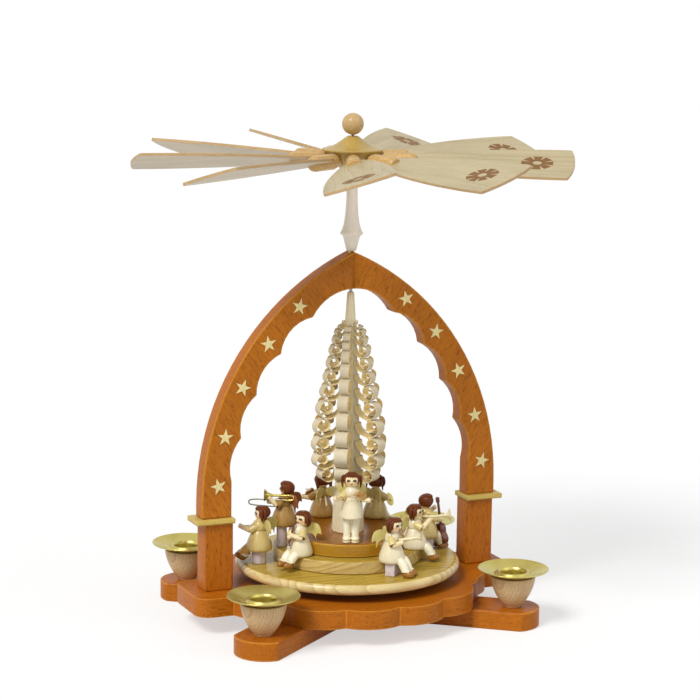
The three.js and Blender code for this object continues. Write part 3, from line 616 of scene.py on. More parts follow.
def two_toned(bm, axis, least=0.7):
    """Gives the faces that don't look along an axis the second material: sawn edges look different."""
    bm.normal_update()
    for face in bm.faces:
        if abs(face.normal[axis]) < least:
            face.material_index = 1
    return bm


def bored(bm, cutters):
    """Cuts holes with other meshes."""
    holder = in_scene("bored", as_mesh(bm, "bored"))
    tool = in_scene("borer", as_mesh(merge(*cutters), "borer"))
    cut = holder.modifiers.new("cut", "BOOLEAN")
    cut.operation = "DIFFERENCE"
    cut.solver = "EXACT"
    cut.use_self = True
    cut.object = tool
    shape = holder.evaluated_get(bpy.context.evaluated_depsgraph_get()).to_mesh()
    made = bmesh.new()
    made.from_mesh(shape)
    for spare in (holder, tool):
        mesh = spare.data
        bpy.data.objects.remove(spare)
        bpy.data.meshes.remove(mesh)
    return made


def sliced(bm, point, normal, **more):
    """Cuts a mesh's faces along a plane."""
    everything = bm.verts[:] + bm.edges[:] + bm.faces[:]
    bmesh.ops.bisect_plane(bm, geom=everything, plane_co=point, plane_no=normal, **more)


def all_round(bm, face, count):
    """Repeats a flat face round the middle, so many times in all."""
    angle = math.radians(360 - 360 / count)
    bmesh.ops.spin(
        bm, geom=[face], cent=(0, 0, 0), axis=UP, angle=angle, steps=count - 1, use_duplicate=True
    )
    bmesh.ops.remove_doubles(bm, verts=bm.verts, dist=0.01)


# Boards, base plate, posts, collars and arch


def stained(name, grain, pith, stain):
    return wood(
        name, *stain, grain, pith, 0.006, wobble=0.004, ring_share=0.3, fleck_share=0.6,
        fleck=(0.0065, 0.0011), fibre_share=0.45, roughness=0.42, coat=0.08, relief=0.00002, worn=STAIN_WORN,
        specular=0.12,
    )


def face_and_edge(name, grain, pith, stain):
    """A stained board's two looks: its broad faces, and its sawn edges."""
    face = stained("stained_" + name, grain, pith, stain)
    return [face, stained("stained_edge_" + name, grain, pith, STAIN_EDGE)]


def base():
    for node, azimuth in (("cross_board_lower", BOARD_AZIMUTH), ("cross_board_upper", -BOARD_AZIMUTH)):
        looks = face_and_edge(node, (0, 0, math.radians(-azimuth)), (0, 0.03, -0.06), STAIN_TOP)
        dressed(two_toned(from_solid(node, 0.7), 2), node, "base", looks)
    looks = face_and_edge("plate", GRAIN_X, (0, 0.09, -0.07), STAIN_TOP)
    dressed(two_toned(from_solid("base_plate", 0.8), 2), "base_plate", "base", looks)
    for side, sign in (("left", -1), ("right", 1)):
        upright = stained("stained_post_" + side, GRAIN_Z, (0, 0.03 * sign, 0.05), STAIN_EDGE)
        dressed(from_solid("post_" + side, 0.6), "post_" + side, "base", upright)
        gilt = wood("gilt_collar_" + side, *GILT, GRAIN_X, (0, 0.01, -0.04), 0.002, roughness=0.42)
        dressed(from_solid("collar_" + side, 0.5), "collar_" + side, "base", gilt)
        looks = face_and_edge("arch_" + side, (0, math.radians(58 * sign), 0), (0, 0.04, 0.16), STAIN)
        # The joint between the halves, at X = 0, stays sharp
        half = from_solid("arch_" + side, 0.7, keep=lambda e: max(abs(v.co.x) for v in e.verts) > 1)
        dressed(two_toned(half, 1), "arch_" + side, "base", looks)


# X and Z of each star's middle on the two sides of the arch, and its turn
STARS = {
    "left": [
        (-55.7, 301.9, -12), (-86.9, 268.2, 8), (-112.3, 228.3, -20), (-129.6, 182.3, -5),
        (-136.2, 135.9, 14),
    ],
    "right": [(54, 303.6, 12), (86.3, 269.7, -8), (111, 230.3, 20), (129.8, 184.9, 5), (138.4, 138.7, -14)],
}
STAR_RADIUS = 8.3
STAR_THICK = 0.6


def star_shape():
    """A five-pointed star: one point spun round the middle."""
    bm = bmesh.new()
    waist = STAR_RADIUS * 0.38
    half = math.radians(36)
    tip = bm.verts.new((0, STAR_RADIUS, 0))
    left = bm.verts.new((-waist * math.sin(half), waist * math.cos(half), 0))
    right = bm.verts.new((waist * math.sin(half), waist * math.cos(half), 0))
    middle = bm.verts.new((0, 0, 0))
    all_round(bm, bm.faces.new((middle, right, tip, left)), 5)
    return soften(raise_flat(bm, 0, STAR_THICK), 0.15, 1)


def stars():
    gold = wood("star_wood", *STAR_GOLD, GRAIN_Z, ring_width=0.0015, roughness=0.4)
    for side, middles in STARS.items():
        parts = []
        for x, z, turn in middles:
            parts.append(placed(star_shape(), at(x, ARCH_FRONT, z) @ turn_x(90) @ turn_z(turn)))
        finished(merge(*parts), "stars_" + side, "base", gold)


# Candle cups and drip dishes, as (radius, height over the boards), and the sides that they stand on
CANDLE_SIDES = {"front_left": (-1, -1), "front_right": (1, -1), "back_left": (-1, 1), "back_right": (1, 1)}
CUP_PROFILE = [
    (0, 0), (8.3, 0), (8.7, 0.4), (8.7, 1.7), (9.8, 2.2), (11.5, 4.3), (14.2, 8.5), (16.6, 12.7),
    (18.5, 16.9), (20.0, 21.2), (21.0, 25.6), (21.4, 29.2), (20.9, 30.0), (13.0, 30.0), (13.0, 9.0), (0, 9.0),
]
DISH_PROFILE = [
    (0, 9.3), (12.6, 9.3), (12.6, 30.3), (17.8, 30.3), (20.6, 31.4), (33.0, 36.0), (33.8, 36.6), (33.8, 37.2),
    (33.2, 37.4), (32.6, 37.0), (20.4, 32.6), (18.4, 32.0), (17.4, 32.2), (16.5, 33.0), (15.6, 34.3),
    (14.5, 34.8), (13.2, 34.4), (12.3, 33.2), (11.9, 31.5), (11.9, 10.2), (0, 10.2),
]


def candle_holders():
    for place, (sx, sy) in CANDLE_SIDES.items():
        x, y = sx * CANDLE_X, sy * CANDLE_Y
        spot = at(x, y, CUP_FOOT)
        pith = (0, -y * MM + 0.03, x * MM - 0.06)
        cup_wood = wood(
            "cup_wood_" + place, *CUP, GRAIN_Z, pith, 0.0024, wobble=0.0035, ring_share=1.0,
            fleck_share=0.25, fleck=(0.003, 0.0009), roughness=0.42, coat=0.15,
        )
        cup = placed(turned(CUP_PROFILE, 64, 0.35), spot)
        dressed(cup, "candle_cup_" + place, "base", cup_wood)
        dish = placed(turned(DISH_PROFILE, 72, 0.2, 2), spot)
        dish_brass = metal("brass_" + place, *BRASS, 0.3, (x * MM, y * MM, 0))
        dressed(dish, "drip_dish_" + place, "base", dish_brass)


# Turntable, tree and rotor head


def tier(radius, low, high, ease):
    """A round board with a bore, given the second material round its side."""
    zone = ease + 1.5
    profile = [
        (ROD_BORE, low), (radius, low), (radius, low + zone), (radius, high - zone), (radius, high),
        (radius - zone, high), (ROD_BORE, high), (ROD_BORE, low),
    ]
    return two_toned(turned(profile, 120, ease), 2)


def turntable():
    ash = dict(ring_width=0.0065, wobble=0.006, ring_share=1.0, fleck=(0.006, 0.0009))
    ash_top = dict(ash, fleck_share=0.35, fibre_share=0.5, coat=0.16, specular=0.1)
    ash_side = dict(ash, fleck_share=0.15, fibre_share=0.3, roughness=0.26)
    round_edge = (TABLE_TOP - TABLE_BOTTOM) / 2
    rim = [(ROD_BORE, TABLE_BOTTOM)]
    for i in range(17):
        a = math.pi * i / 16
        out = TABLE_RADIUS - round_edge + round_edge * math.sin(a)
        rim.append((out, TABLE_BOTTOM + round_edge - round_edge * math.cos(a)))
    rim += [(ROD_BORE, TABLE_TOP), (ROD_BORE, TABLE_BOTTOM)]
    pith = (0, 0.03, -0.02)
    looks = [
        wood("ash_disc", *DISC, GRAIN_X, pith, roughness=0.24, **ash_top),
        wood("ash_disc_rim", *DISC_RIM, GRAIN_X, pith, coat=0.4, **ash_side),
    ]
    dressed(two_toned(turned(rim, 160), 2, 0.93), "turntable_disc", "rotor", looks)
    pith = (0, 0.05, -0.03)
    ash_top["ring_width"] = ash_side["ring_width"] = 0.006
    flat = (0, 0, math.radians(28))
    slanted = (0, math.radians(24), math.radians(28))
    looks = [
        wood("ash_step", *STEP, flat, pith, roughness=0.26, **ash_top),
        wood("ash_step_side", *STEP_SIDE, slanted, pith, coat=0.35, **ash_side),
    ]
    dressed(tier(STEP_RADIUS, TABLE_TOP + GAP, STEP_TOP, 0.8), "step_ring", "rotor", looks)
    cut = dict(grain=(0, 0, math.radians(10)), pith=(0, 0.03, -0.05), ring_width=0.006)
    looks = [
        wood("honey_top", *HONEY, ring_share=0.5, roughness=0.24, coat=0.14, specular=0.1, **cut),
        wood("honey_side", *HONEY_SIDE, ring_share=0.4, roughness=0.3, coat=0.2, worn=HONEY_WORN, **cut),
    ]
    dressed(tier(HONEY_RADIUS, STEP_TOP + GAP, HONEY_TOP, 1.0), "honey_disc", "rotor", looks)


# The columns of curls, and the heights of the rolls in a column from the top down, as in the solids
CURL_COLUMNS = [-125.9, -55.9, 3, 62.5, 122, 181]
ROLL_HEIGHTS = [3.4, 6.3, 8.3, 11.5, 13, 13, 15.1, 17.2, 17.2, 16.7, 14.5, 12.6]
FRONT_ROLL_HEIGHTS = [5.6, 8.2, 8, 12.1, 14.2, 15.2, 16.3, 17.3, 15.3, 19.7, 12.9, 11.2]
# How far the rolls reach from the axis at a depth below the top of the curls
CURL_REACH = [
    (0, 11), (6, 15.5), (23, 20.7), (49, 26.3), (79, 33.2), (97, 36.1), (114, 37.3), (130, 36.5), (143, 31),
    (160, 22),
]
SHAVING_THICK = 0.5
# Steps between two stations of a curl
CURL_STEPS = 6
# The narrow wisps above the top roll: where they start, how far apart they are, and their height and width
WISPS = 2
WISP_START = 4.2
WISP_STEP = 1.6
WISP_HEIGHT = 3.6
WISP_WIDTH = 1.1


def reach_at(depth):
    for (d0, r0), (d1, r1) in zip(CURL_REACH, CURL_REACH[1:]):
        if depth <= d1:
            return r0 + (r1 - r0) * (depth - d0) / (d1 - d0)
    return CURL_REACH[-1][1]


def trunk_radius(z):
    share = (z - HONEY_TOP) / (TREE_TOP - HONEY_TOP)
    return TRUNK_FOOT_RADIUS + (TRUNK_TOP_RADIUS - TRUNK_FOOT_RADIUS) * share


def shaving(high, height, chance, width=None, reach=None):
    """One curled shaving: it leaves the trunk, runs down and out, rises and rolls up inwards."""
    roll = height / 2 - 0.15
    centre_z = high - height / 2
    depth = TREE_TOP - centre_z
    centre_r = (reach or reach_at(depth)) - roll
    start = centre_r - trunk_radius(centre_z) + 0.8
    last = 668 + chance.uniform(-50, 50)
    # Angle round the roll's middle in degrees, and distance from it
    stations = [
        (172, start), (240, min((start + roll) / 2, roll * 1.25)), (305, roll), (375, roll * 1.02),
        (455, roll * 0.92), (540, roll * chance.uniform(0.62, 0.7)), (610, roll * chance.uniform(0.42, 0.5)),
        (last, roll * chance.uniform(0.24, 0.34)),
    ]
    width = width or 6.2 + 0.054 * depth
    lean = chance.uniform(-1.3, 1.3)
    line = []
    for (a0, r0), (a1, r1) in zip(stations, stations[1:]):
        for i in range(CURL_STEPS):
            t = i / CURL_STEPS
            ease = t * t * (3 - 2 * t)
            angle = math.radians(a0 + (a1 - a0) * t)
            radius = r0 + (r1 - r0) * ease
            line.append((centre_r + radius * math.cos(angle), centre_z + radius * math.sin(angle)))
    bm = bmesh.new()
    verts = []
    for i, (r, z) in enumerate(line):
        verts.append(bm.verts.new((r, -width / 2 + lean * (i / len(line)) ** 2, z)))
    edges = [bm.edges.new(pair) for pair in zip(verts, verts[1:])]
    strip = bmesh.ops.extrude_edge_only(bm, edges=edges)
    far = [g for g in strip["geom"] if isinstance(g, bmesh.types.BMVert)]
    bmesh.ops.translate(bm, verts=far, vec=(0, width, 0))
    bmesh.ops.recalc_face_normals(bm, faces=bm.faces)
    bmesh.ops.solidify(bm, geom=bm.faces[:], thickness=SHAVING_THICK)
    bm.normal_update()
    # Faces that look into the roll take the second material, whose paler, more golden colour is painted light
    for face in bm.faces:
        middle = face.calc_center_median()
        inward = face.normal.x * (centre_r - middle.x) + face.normal.z * (centre_z - middle.z)
        if inward > 0:
            face.material_index = 1
    return bm


def tree():
    foot = (15.7, HONEY_TOP + GAP)
    trunk = [
        foot, (14.2, 105), (12.0, 145), (8.9, 205), (6.4, 262), (5.5, 279), (ROD_BORE, 279),
        (ROD_BORE, HONEY_TOP + GAP), foot,
    ]
    tip = [
        (ROD_BORE, 279.1), (5.3, 279.1), (5.45, 280), (3.4, 310.4), (2.8, 311.8), (ROD_BORE, TREE_TIP),
        (ROD_BORE, 279.1),
    ]
    pith = (0, 0.012, 0.02)
    trunk_wood = wood("lime_trunk", *TRUNK, GRAIN_Z, pith, 0.0022, fleck_share=0.1, roughness=0.55, coat=0.05)
    whole = merge(turned(trunk, 12), turned(tip, 40, 0.2, 2))
    finished(whole, "tree_trunk", "rotor", trunk_wood, "shaving_tree", sharp=22)
    thin = dict(
        grain=GRAIN_Z, pith=(0, 0.01, 0.03), ring_width=0.0016, wobble=0.001, ring_share=0.4,
        fleck_share=0.05, fibre_share=0.35, roughness=0.6, coat=0.0,
    )
    looks = [wood("lime_shavings", *SHAVING, **thin), wood("lime_shavings_inside_lit", *SHAVING_INSIDE_LIT, **thin)]
    chance = random.Random(7)
    for column, azimuth in enumerate(CURL_COLUMNS):
        curls = []
        high = TREE_TOP
        for height in ROLL_HEIGHTS if column else FRONT_ROLL_HEIGHTS:
            curls.append(placed(shaving(high, height, chance), turn_z(azimuth)))
            high -= height
        for wisp in range(WISPS):
            high = TREE_TOP + WISP_START - WISP_STEP * wisp
            small = shaving(high, WISP_HEIGHT, chance, WISP_WIDTH, chance.uniform(8.6, 10.4))
            curls.append(placed(small, turn_z(azimuth + chance.uniform(-24, 24))))
        name = "tree_curls_%d" % (column + 1)
        finished(merge(*curls), name, "rotor", looks, "shaving_tree", sharp=50)


SLEEVE_PROFILE = [
    (ROD_BORE, 351.5), (4.4, 351.5), (4.9, 352.4), (8.1, 364.6), (9.2, 366.1), (10.5, 366.9), (10.8, 368.0),
    (10.4, 369.1), (9.4, 370.8), (8.1, 374.4), (7.1, 379.0), (6.1, 386.5), (5.4, 398), (5.2, 410),
    (5.2, 428.5), (ROD_BORE, 428.5), (ROD_BORE, 351.5),
]
HUB_PROFILE = [
    (ROD_BORE, 428.8), (10.6, 428.8), (12.2, 429.4), (20, 437.6), (27.4, 445.0), (28.7, 446.2), (28.9, 447.0),
    (28.2, 447.7), (25.2, 448.3), (20.5, 449.4), (15.6, 451.9), (11.2, 455.0), (7.6, 457.7), (5.6, 459.0),
    (4.5, 459.5), (ROD_BORE, 459.5), (ROD_BORE, 428.8),
]
DOWEL_HOLE_RADIUS = 3.45
DOWEL_HOLE_DEPTH = 30
DOWEL_HOLE_MIDDLE = 24.5


def blade_azimuth(i):
    return BLADE_FIRST_AZIMUTH + 360 * i / BLADES


def rotor_head():
    sleeve_wood = wood(
        "maple_sleeve", *SLEEVE, GRAIN_Z, (0, 0.006, 0.012), 0.0018, ring_share=0.4, fleck_share=0.15,
        roughness=0.5,
    )
    dressed(turned(SLEEVE_PROFILE, 48), "spindle_sleeve", "rotor", sleeve_wood, sharp=50)
    beech = dict(grain=GRAIN_Z, ring_share=0.75, fleck_share=0.4, fleck=(0.002, 0.0007))
    dowel_holes = []
    for i in range(BLADES):
        hole = bmesh.new()
        bmesh.ops.create_cone(
            hole, cap_ends=True, segments=24, radius1=DOWEL_HOLE_RADIUS, radius2=DOWEL_HOLE_RADIUS,
            depth=DOWEL_HOLE_DEPTH,
        )
        way = turn_z(blade_azimuth(i)) @ at(DOWEL_HOLE_MIDDLE, 0, BLADE_AXIS_Z) @ turn_y(90)
        dowel_holes.append(placed(hole, way))
    hub_wood = wood(
        "beech_hub", *HUB, pith=(0, 0.01, 0.015), ring_width=0.002, roughness=0.36, coat=0.2, **beech
    )
    hub = bored(turned(HUB_PROFILE, 72), dowel_holes)
    dressed(hub, "rotor_hub", "rotor", hub_wood, sharp=50)
    ball_wood = wood(
        "beech_ball", *BALL, pith=(0, 0.004, 0.034), ring_width=0.0016, wobble=0.0006, roughness=0.38,
        coat=0.15, **beech,
    )
    head = ball(BALL_RADIUS, (0, 0, BALL_Z), segments=48, rings=32)
    pin = turned([(0, 453.2), (1.3, 453.2), (1.3, 463), (0, 463)], 20)
    dressed(merge(head, pin), "finial_ball", "rotor", ball_wood)


# Blades

# Outline of a vane: half its width where it leaves the peg and at its end, and how far its long sides swell
VANE_START = 38
VANE_ROOT_HALF = 9
VANE_WIDEST = 190
VANE_HALF = 32.5
VANE_SWELL = 5.6
VANE_CORNER = 204
VANE_CORNER_RADIUS = 2.5
VANE_END_BULGE = 4
VANE_HALF_THICK = 1.45
# A peg, as (radius, distance from the rotor's axis)
PEG_PROFILE = [
    (0, 10), (2.9, 10), (2.9, 25.6), (4.4, 25.6), (6.6, 27.2), (7.5, 30.5), (7.5, 55.5), (6.9, 58.6),
    (5.2, 60.6), (0, 60.9),
]
FLOWER_FROM_AXIS = 173
FLOWER_THICK = 0.1
# How far above the vane's middle the flower starts: a little inside its face
FLOWER_RISE = 1.42
# A petal's distances from the flower's middle, and half its width at the tip
PETAL_INNER = 4.0
PETAL_WAIST = 6.3
PETAL_TIP = 14.8
PETAL_HALF = 4.4


def vane_shape():
    """A thin vane that widens outwards and ends in a shallow arc, with its underside and edges marked: the
    underside's paler, greyer colour is painted shade.
    """
    shoulder = VANE_CORNER - VANE_CORNER_RADIUS
    quarter = VANE_CORNER_RADIUS * (1 - math.cos(math.radians(45)))
    inner = VANE_HALF - VANE_CORNER_RADIUS
    flat = traced(
        (VANE_START, -VANE_ROOT_HALF),
        [
            (VANE_WIDEST, -VANE_HALF, VANE_SWELL), (shoulder, -VANE_HALF), (VANE_CORNER, -inner, quarter),
            (VANE_CORNER, inner, VANE_END_BULGE), (shoulder, VANE_HALF, quarter), (VANE_WIDEST, VANE_HALF),
            (VANE_START, VANE_ROOT_HALF, VANE_SWELL),
        ],
        14,
    )
    vane = soften(raise_flat(flat, -VANE_HALF_THICK, VANE_HALF_THICK), 0.3, 1)
    vane.normal_update()
    for face in vane.faces:
        # Top faces take the vane wood, undersides the painted shade, and the edges the third material
        face.material_index = 0 if face.normal.z > 0.7 else 1 if face.normal.z < -0.7 else 2
    return vane


def flower_inlay():
    """Eight squared petals round a hole: one petal spun round the middle."""
    bm = bmesh.new()
    side = math.tan(math.radians(22.5))
    corners = [
        (PETAL_INNER, -PETAL_INNER * side), (PETAL_WAIST, -PETAL_WAIST * side), (PETAL_TIP, -PETAL_HALF),
        (PETAL_TIP, PETAL_HALF), (PETAL_WAIST, PETAL_WAIST * side), (PETAL_INNER, PETAL_INNER * side),
    ]
    all_round(bm, bm.faces.new([bm.verts.new((x, y, 0)) for x, y in corners]), 8)
    return raise_flat(bm, 0, FLOWER_THICK)


def blades():
    axis = BLADE_AXIS_Z * MM
    for i in range(BLADES):
        body = "blade_%d" % (i + 1)
        along = (0, 0, math.radians(-blade_azimuth(i)))
        # Each vane is cut from another place in the log
        pith = (0, 0.012 * ((i * 5) % 7 - 3), -0.09 - 0.004 * i - axis)
        grown = dict(grain=along, pith=pith, ring_width=0.0055, wobble=0.003, fleck_share=0.2, roughness=0.5)
        looks = [
            wood("vane_wood_%d" % (i + 1), *VANE, ring_share=0.75, **grown),
            # The underside's own colour is painted shade
            wood("vane_under_%d" % (i + 1), *VANE_UNDER_SHADE, ring_share=0.5, **grown),
            wood("vane_edge_%d" % (i + 1), *VANE_EDGE, ring_share=0.5, **grown),
            wood(
                "peg_wood_%d" % (i + 1), *PEG, along, (0, 0.006, -0.008 - axis), 0.0016, ring_share=0.8,
                fleck_share=0.7, fleck=(0.0012, 0.0008), roughness=0.42, coat=0.2,
            ),
        ]
        way = at(0, 0, BLADE_AXIS_Z) @ turn_z(blade_azimuth(i))
        vane = placed(vane_shape(), way @ turn_x(BLADE_PITCH))
        peg = placed(turned(PEG_PROFILE, 32), way @ turn_y(90))
        dressed(merge(vane, (peg, 3)), body, body, looks)
        inlay_wood = wood(
            "inlay_wood_%d" % (i + 1), *INLAY, along, (0, 0.02, -0.02 - axis), 0.0012, roughness=0.55,
            coat=0.0,
        )
        flower = placed(flower_inlay(), way @ turn_x(BLADE_PITCH) @ at(FLOWER_FROM_AXIS, 0, FLOWER_RISE))
        finished(flower, body + "_flower", body, inlay_wood)


# Angels. A figure looks along +X, with its left at +Y, and its dress starts at Z = 0.
HEAD_UP = 35.6
HEAD_RADIUS = 6.9
HAIR_RADIUS = 7.3
HAIR_FRONT = 3.2
WING_LIFT = 25.5
SEATED_SPREAD = 4.2
STANDING_SPREAD = 4.0
LEFT_SHOULDER = (0, 4.6, 24.5)
RIGHT_SHOULDER = (0, -4.6, 24.5)
# How far a standing figure's dress is above its soles
STAND_LIFT = 24.5
# How far a seated figure's soles are below its seat, on the step ring's edge and on a low stool
STEP_DROP = STEP_TOP - TABLE_TOP
STOOL_DROP = LOW_SEAT - TABLE_TOP - GAP
BACK_DROP = 8

# Where the figures are: how far out, at which azimuth, which way they face, and how high
STANDING_PLACE = (47, -110, -114, HONEY_TOP + GAP)
FLUTE_PLACE = (66, -157, -159, STEP_TOP + GAP)
SINGER_PLACE = (89.5, 176.4, 143, LOW_SEAT)
TROMBONE_PLACE = (62.2, 167.2, 150, TALL_SEAT)
FIDDLE_PLACE = (57.9, 92, 92, HONEY_TOP + GAP)
CYMBAL_PLACE = (57, 38, 38, HONEY_TOP + GAP)
HORN_PLACE = (79, -82, -46, LOW_SEAT)
TRUMPET_PLACE = (66, -38, -24, STEP_TOP + GAP)
BASS_PLACE = (80, -5, 8, LOW_SEAT)
# Where the double bass stands on its spike, and how far it leans back
DOUBLE_BASS_PLACE = (99, -4.5, 8, TABLE_TOP + GAP)
DOUBLE_BASS_LEAN = -9


def in_hand(radius, azimuth, facing, z, lift=0.0):
    """The frame of a figure at its place."""
    return at(*polar(radius, azimuth), z + lift) @ turn_z(facing)


def figure_materials():
    """What the figures, and the things that they hold, are made of or painted with."""
    dress_wood = dict(
        grain=GRAIN_Z, pith=(0, 0.02, 0.03), ring_width=0.0012, wobble=0.0004, ring_share=0.45,
        fleck_share=0.12, fibre_share=0.3,
    )
    wing_wood = dict(grain=GRAIN_Z, ring_width=0.0012, fleck_share=0.1)
    upright = dict(grain=GRAIN_Z, ring_width=0.001, fleck_share=0.1)
    level = dict(upright, grain=GRAIN_X)
    hair = dict(ridge=0.00006, specular=0.12)
    paints = {
        "brass": metal("instrument_brass", *BRASS, 0.28),
        "steel": metal("slide_steel", *SLIDE_STEEL, 0.3),
    }
    # Kind, name used here, the material's name, light and dark, roughness, coat, and what else it takes
    for make, key, name, light, dark, roughness, coat, more in (
        (wood, "dress", "cream_dress", (232, 221, 188), (212, 195, 150), 0.3, 0.6, dress_wood),
        (wood, "sleeve", "golden_sleeve", (226, 208, 142), (196, 170, 92), 0.3, 0.4, dress_wood),
        # A tan dress for the singer, cymbalist and bassist: painted shade, the cream dress darkened as it
        # looks in shadow
        (wood, "tan", "tan_dress", (208, 186, 118), (176, 144, 76), 0.3, 0.6, dress_wood),
        # A browner dress for the trombonist and fiddler: painted shade, the cream dress as it looks in shadow
        (wood, "brown_dress", "brown_dress", (176, 136, 66), (138, 92, 36), 0.32, 0.6, dress_wood),
        (wood, "wing", "wing_wood", (214, 200, 126), (186, 166, 84), 0.42, 0.1, wing_wood),
        # Brown wings for the trombonist: painted shade, the pale wings as they look in shadow
        (wood, "wing_brown", "wing_brown", (150, 84, 44), (108, 54, 24), 0.35, 0.1, wing_wood),
        (wood, "walnut", "instrument_walnut", (110, 50, 24), (60, 24, 10), 0.22, 0.9, upright),
        (wood, "fiddle_wood", "instrument_fiddle", (184, 132, 48), (138, 88, 24), 0.25, 0.8, upright),
        (wood, "horn_wood", "instrument_pale", (230, 220, 178), (200, 182, 130), 0.3, 0.6, level),
        (lacquer, "skin", "skin_lacquer", (240, 222, 178), (222, 194, 138), 0.35, 0.3, {}),
        (lacquer, "hair", "hair_lacquer", (110, 54, 22), (68, 30, 12), 0.2, 0.06, hair),
        (lacquer, "stocking", "white_lacquer", (246, 240, 214), (230, 219, 180), 0.35, 0.3, {}),
        # Golden legs for the singer: painted shade, the white stockings as they look in the shadow under the
        # figure
        (lacquer, "shaded_tan_leg", "golden_leg", (222, 182, 92), (184, 138, 54), 0.3, 0.6, {}),
        (lacquer, "shoe", "golden_brown_lacquer", (158, 106, 32), (118, 68, 14), 0.25, 0.3, {}),
        (lacquer, "gold", "gold_band", (206, 186, 70), (160, 136, 40), 0.25, 0.8, {}),
        # The inside of the sleeves: painted shade, a dark brown disc in each sleeve's opening
        (lacquer, "cuff", "cuff_inside", (134, 90, 44), (92, 54, 22), 0.5, 0.1, {}),
        (lacquer, "black", "eye_black", (30, 22, 18), (44, 30, 22), 0.2, 0.8, {}),
        (lacquer, "red", "mouth_red", (200, 74, 48), (170, 52, 34), 0.3, 0.3, {}),
        (lacquer, "blush", "cheek_blush", (236, 172, 120), (232, 184, 134), 0.4, 0.3, {}),
    ):
        paints[key] = make(name, light, dark, roughness=roughness, coat=coat, **more)
    return paints


PAINTS = figure_materials()


def painted(bm, way, name, node, *paints, slot="figure_wood"):
    """Finishes a piece of a figure, or of a thing that it holds, at its place and in its paints."""
    finished(placed(bm, way), name, "rotor", [PAINTS[paint] for paint in paints], node)


# A dress, as (radius, height): the skirt below the sash, the body above it, and the shoulders
SKIRT = [(11.8, 0.6), (12.5, 2.4), (12.2, 5.6), (11.0, 9.8), (9.0, 14.4), (7.4, 17.8), (6.6, 19.2)]
BODICE = [(6.2, 19.5), (6.8, 20.3), (7.0, 22.4), (6.6, 25.2)]
SHOULDERS = [(5.0, 28.0), (3.2, 29.6), (2.7, 31.0)]
# A standing figure's dress is shorter, and straighter at the sides
SHORT_SKIRT = [(11.0, 0.0), (11.3, 0.6), (10.6, 4.0), (9.6, 8.0), (8.4, 12.0), (7.2, 16.0), (6.5, 18.6)]
SLIM_BODICE = [(6.1, 19.0), (6.6, 19.9), (6.9, 22.4), (6.5, 25.2)]


def dress(standing):
    foot, skirt, bodice = [(0, 0), (10.8, 0)], SKIRT, BODICE
    if standing:
        foot, skirt, bodice = [(0, 2.5), (9.8, 2.5), (10.6, 0.4)], SHORT_SKIRT, SLIM_BODICE
    return turned([*foot, *curve_points(skirt, 4), *curve_points(bodice + SHOULDERS, 3), (0, 31)], 44)


def on_head(turn, lift, out=0.0):
    """A point on the head at so many degrees to its left and above its middle."""
    r = HEAD_RADIUS + out
    a, b = math.radians(turn), math.radians(lift)
    return Vector((r * math.cos(a) * math.cos(b), r * math.sin(a) * math.cos(b), HEAD_UP + r * math.sin(b)))


def dab(turn, lift, wide, high, thick=0.35, tilt=0):
    """A dab of paint on the face."""
    spot = ball(1.0, stretch=(thick, wide, high), segments=16, rings=10)
    way = Matrix.Translation(on_head(turn, lift, -0.02)) @ turn_z(turn) @ turn_y(-lift) @ turn_x(tilt)
    return placed(spot, way)


def hair_cap(bottom=-4.2, brow=3.0):
    """A cap of hair: a ball cut away over the face and below."""
    bm = bmesh.new()
    bmesh.ops.create_uvsphere(bm, u_segments=40, v_segments=28, radius=HAIR_RADIUS)
    bmesh.ops.scale(bm, vec=(1.0, 1.02, 1.0), verts=bm.verts)
    sliced(bm, (HAIR_FRONT, 0, 0), (1, 0, -0.25))
    sliced(bm, (0, 0, brow), (-0.2, 0, 1))
    sliced(bm, (0, 0, bottom), (0.25, 0, 1))
    lost = []
    for f in bm.faces:
        c = f.calc_center_median()
        over_face = (c.x - HAIR_FRONT) - 0.25 * c.z > 0 and (c.z - brow) - 0.2 * c.x < 0
        below = (c.z - bottom) + 0.25 * c.x < 0
        if over_face or below:
            lost.append(f)
    bmesh.ops.delete(bm, geom=lost, context="FACES")
    bmesh.ops.solidify(bm, geom=bm.faces[:], thickness=0.7)
    return placed(bm, at(0, 0, HEAD_UP))


def hanging(loop, radii):
    """A lock of hair through points that are given from the head's middle."""
    return tube([(x, y, z + HEAD_UP) for x, y, z in loop], radii, 4, 3)


def strand(turn, lifts, outs, radii, sway=0.0, ends=()):
    """A lock of hair that lies down the head along one line from the crown, and may hang on past it."""
    points = []
    for i, (lift, out) in enumerate(zip(lifts, outs)):
        points.append(on_head(turn + sway * math.sin(i * 1.9), lift, out))
    points += [Vector((x, y, HEAD_UP + z)) for x, y, z in ends]
    return tube(points, radii, 4, 3)


def fringe():
    lifts, outs, radii = (84, 60, 42, 27), (-0.3, 0.1, 0.4, 0.2), (0.6, 1.05, 1.1, 0.35)
    return [strand(turn, lifts, outs, radii, 3) for turn in (-50, -30, -10, 10, 30, 50)]


def waves(low=-30, first=64, last=296, count=14, out=0.0):
    """Locks all round the back of the head."""
    lifts, outs, radii = (86, 58, 30, 4, low), (-0.4, out - 0.1, out, out, -0.3), (0.6, 1.2, 1.4, 1.3, 0.5)
    parts = []
    for i in range(count):
        turn = first + (last - first) * i / (count - 1)
        parts.append(strand(turn, lifts, outs, radii, 5 if i % 2 else -5))
    return parts


def bob():
    """Wavy hair with a fringe, and side locks that end in a tip at the jaw."""
    parts = [hair_cap(), *fringe(), *waves()]
    for s in (1, -1):
        ends = [(0.9, 7.0 * s, -4.0), (0.5, 6.3 * s, -7.4)]
        parts.append(strand(78 * s, (50, 24, 2), (0.2, 0.5, 0.6), (1.0, 1.5, 1.6, 1.3, 0.4), 0, ends))
        ends = [(-2.2, 6.4 * s, -4.8), (-2.2, 5.6 * s, -7.4)]
        parts.append(strand(106 * s, (50, 20, -4), (0.1, 0.4, 0.5), (1.1, 1.7, 1.8, 1.4, 0.4), 0, ends))
    return merge(*parts)


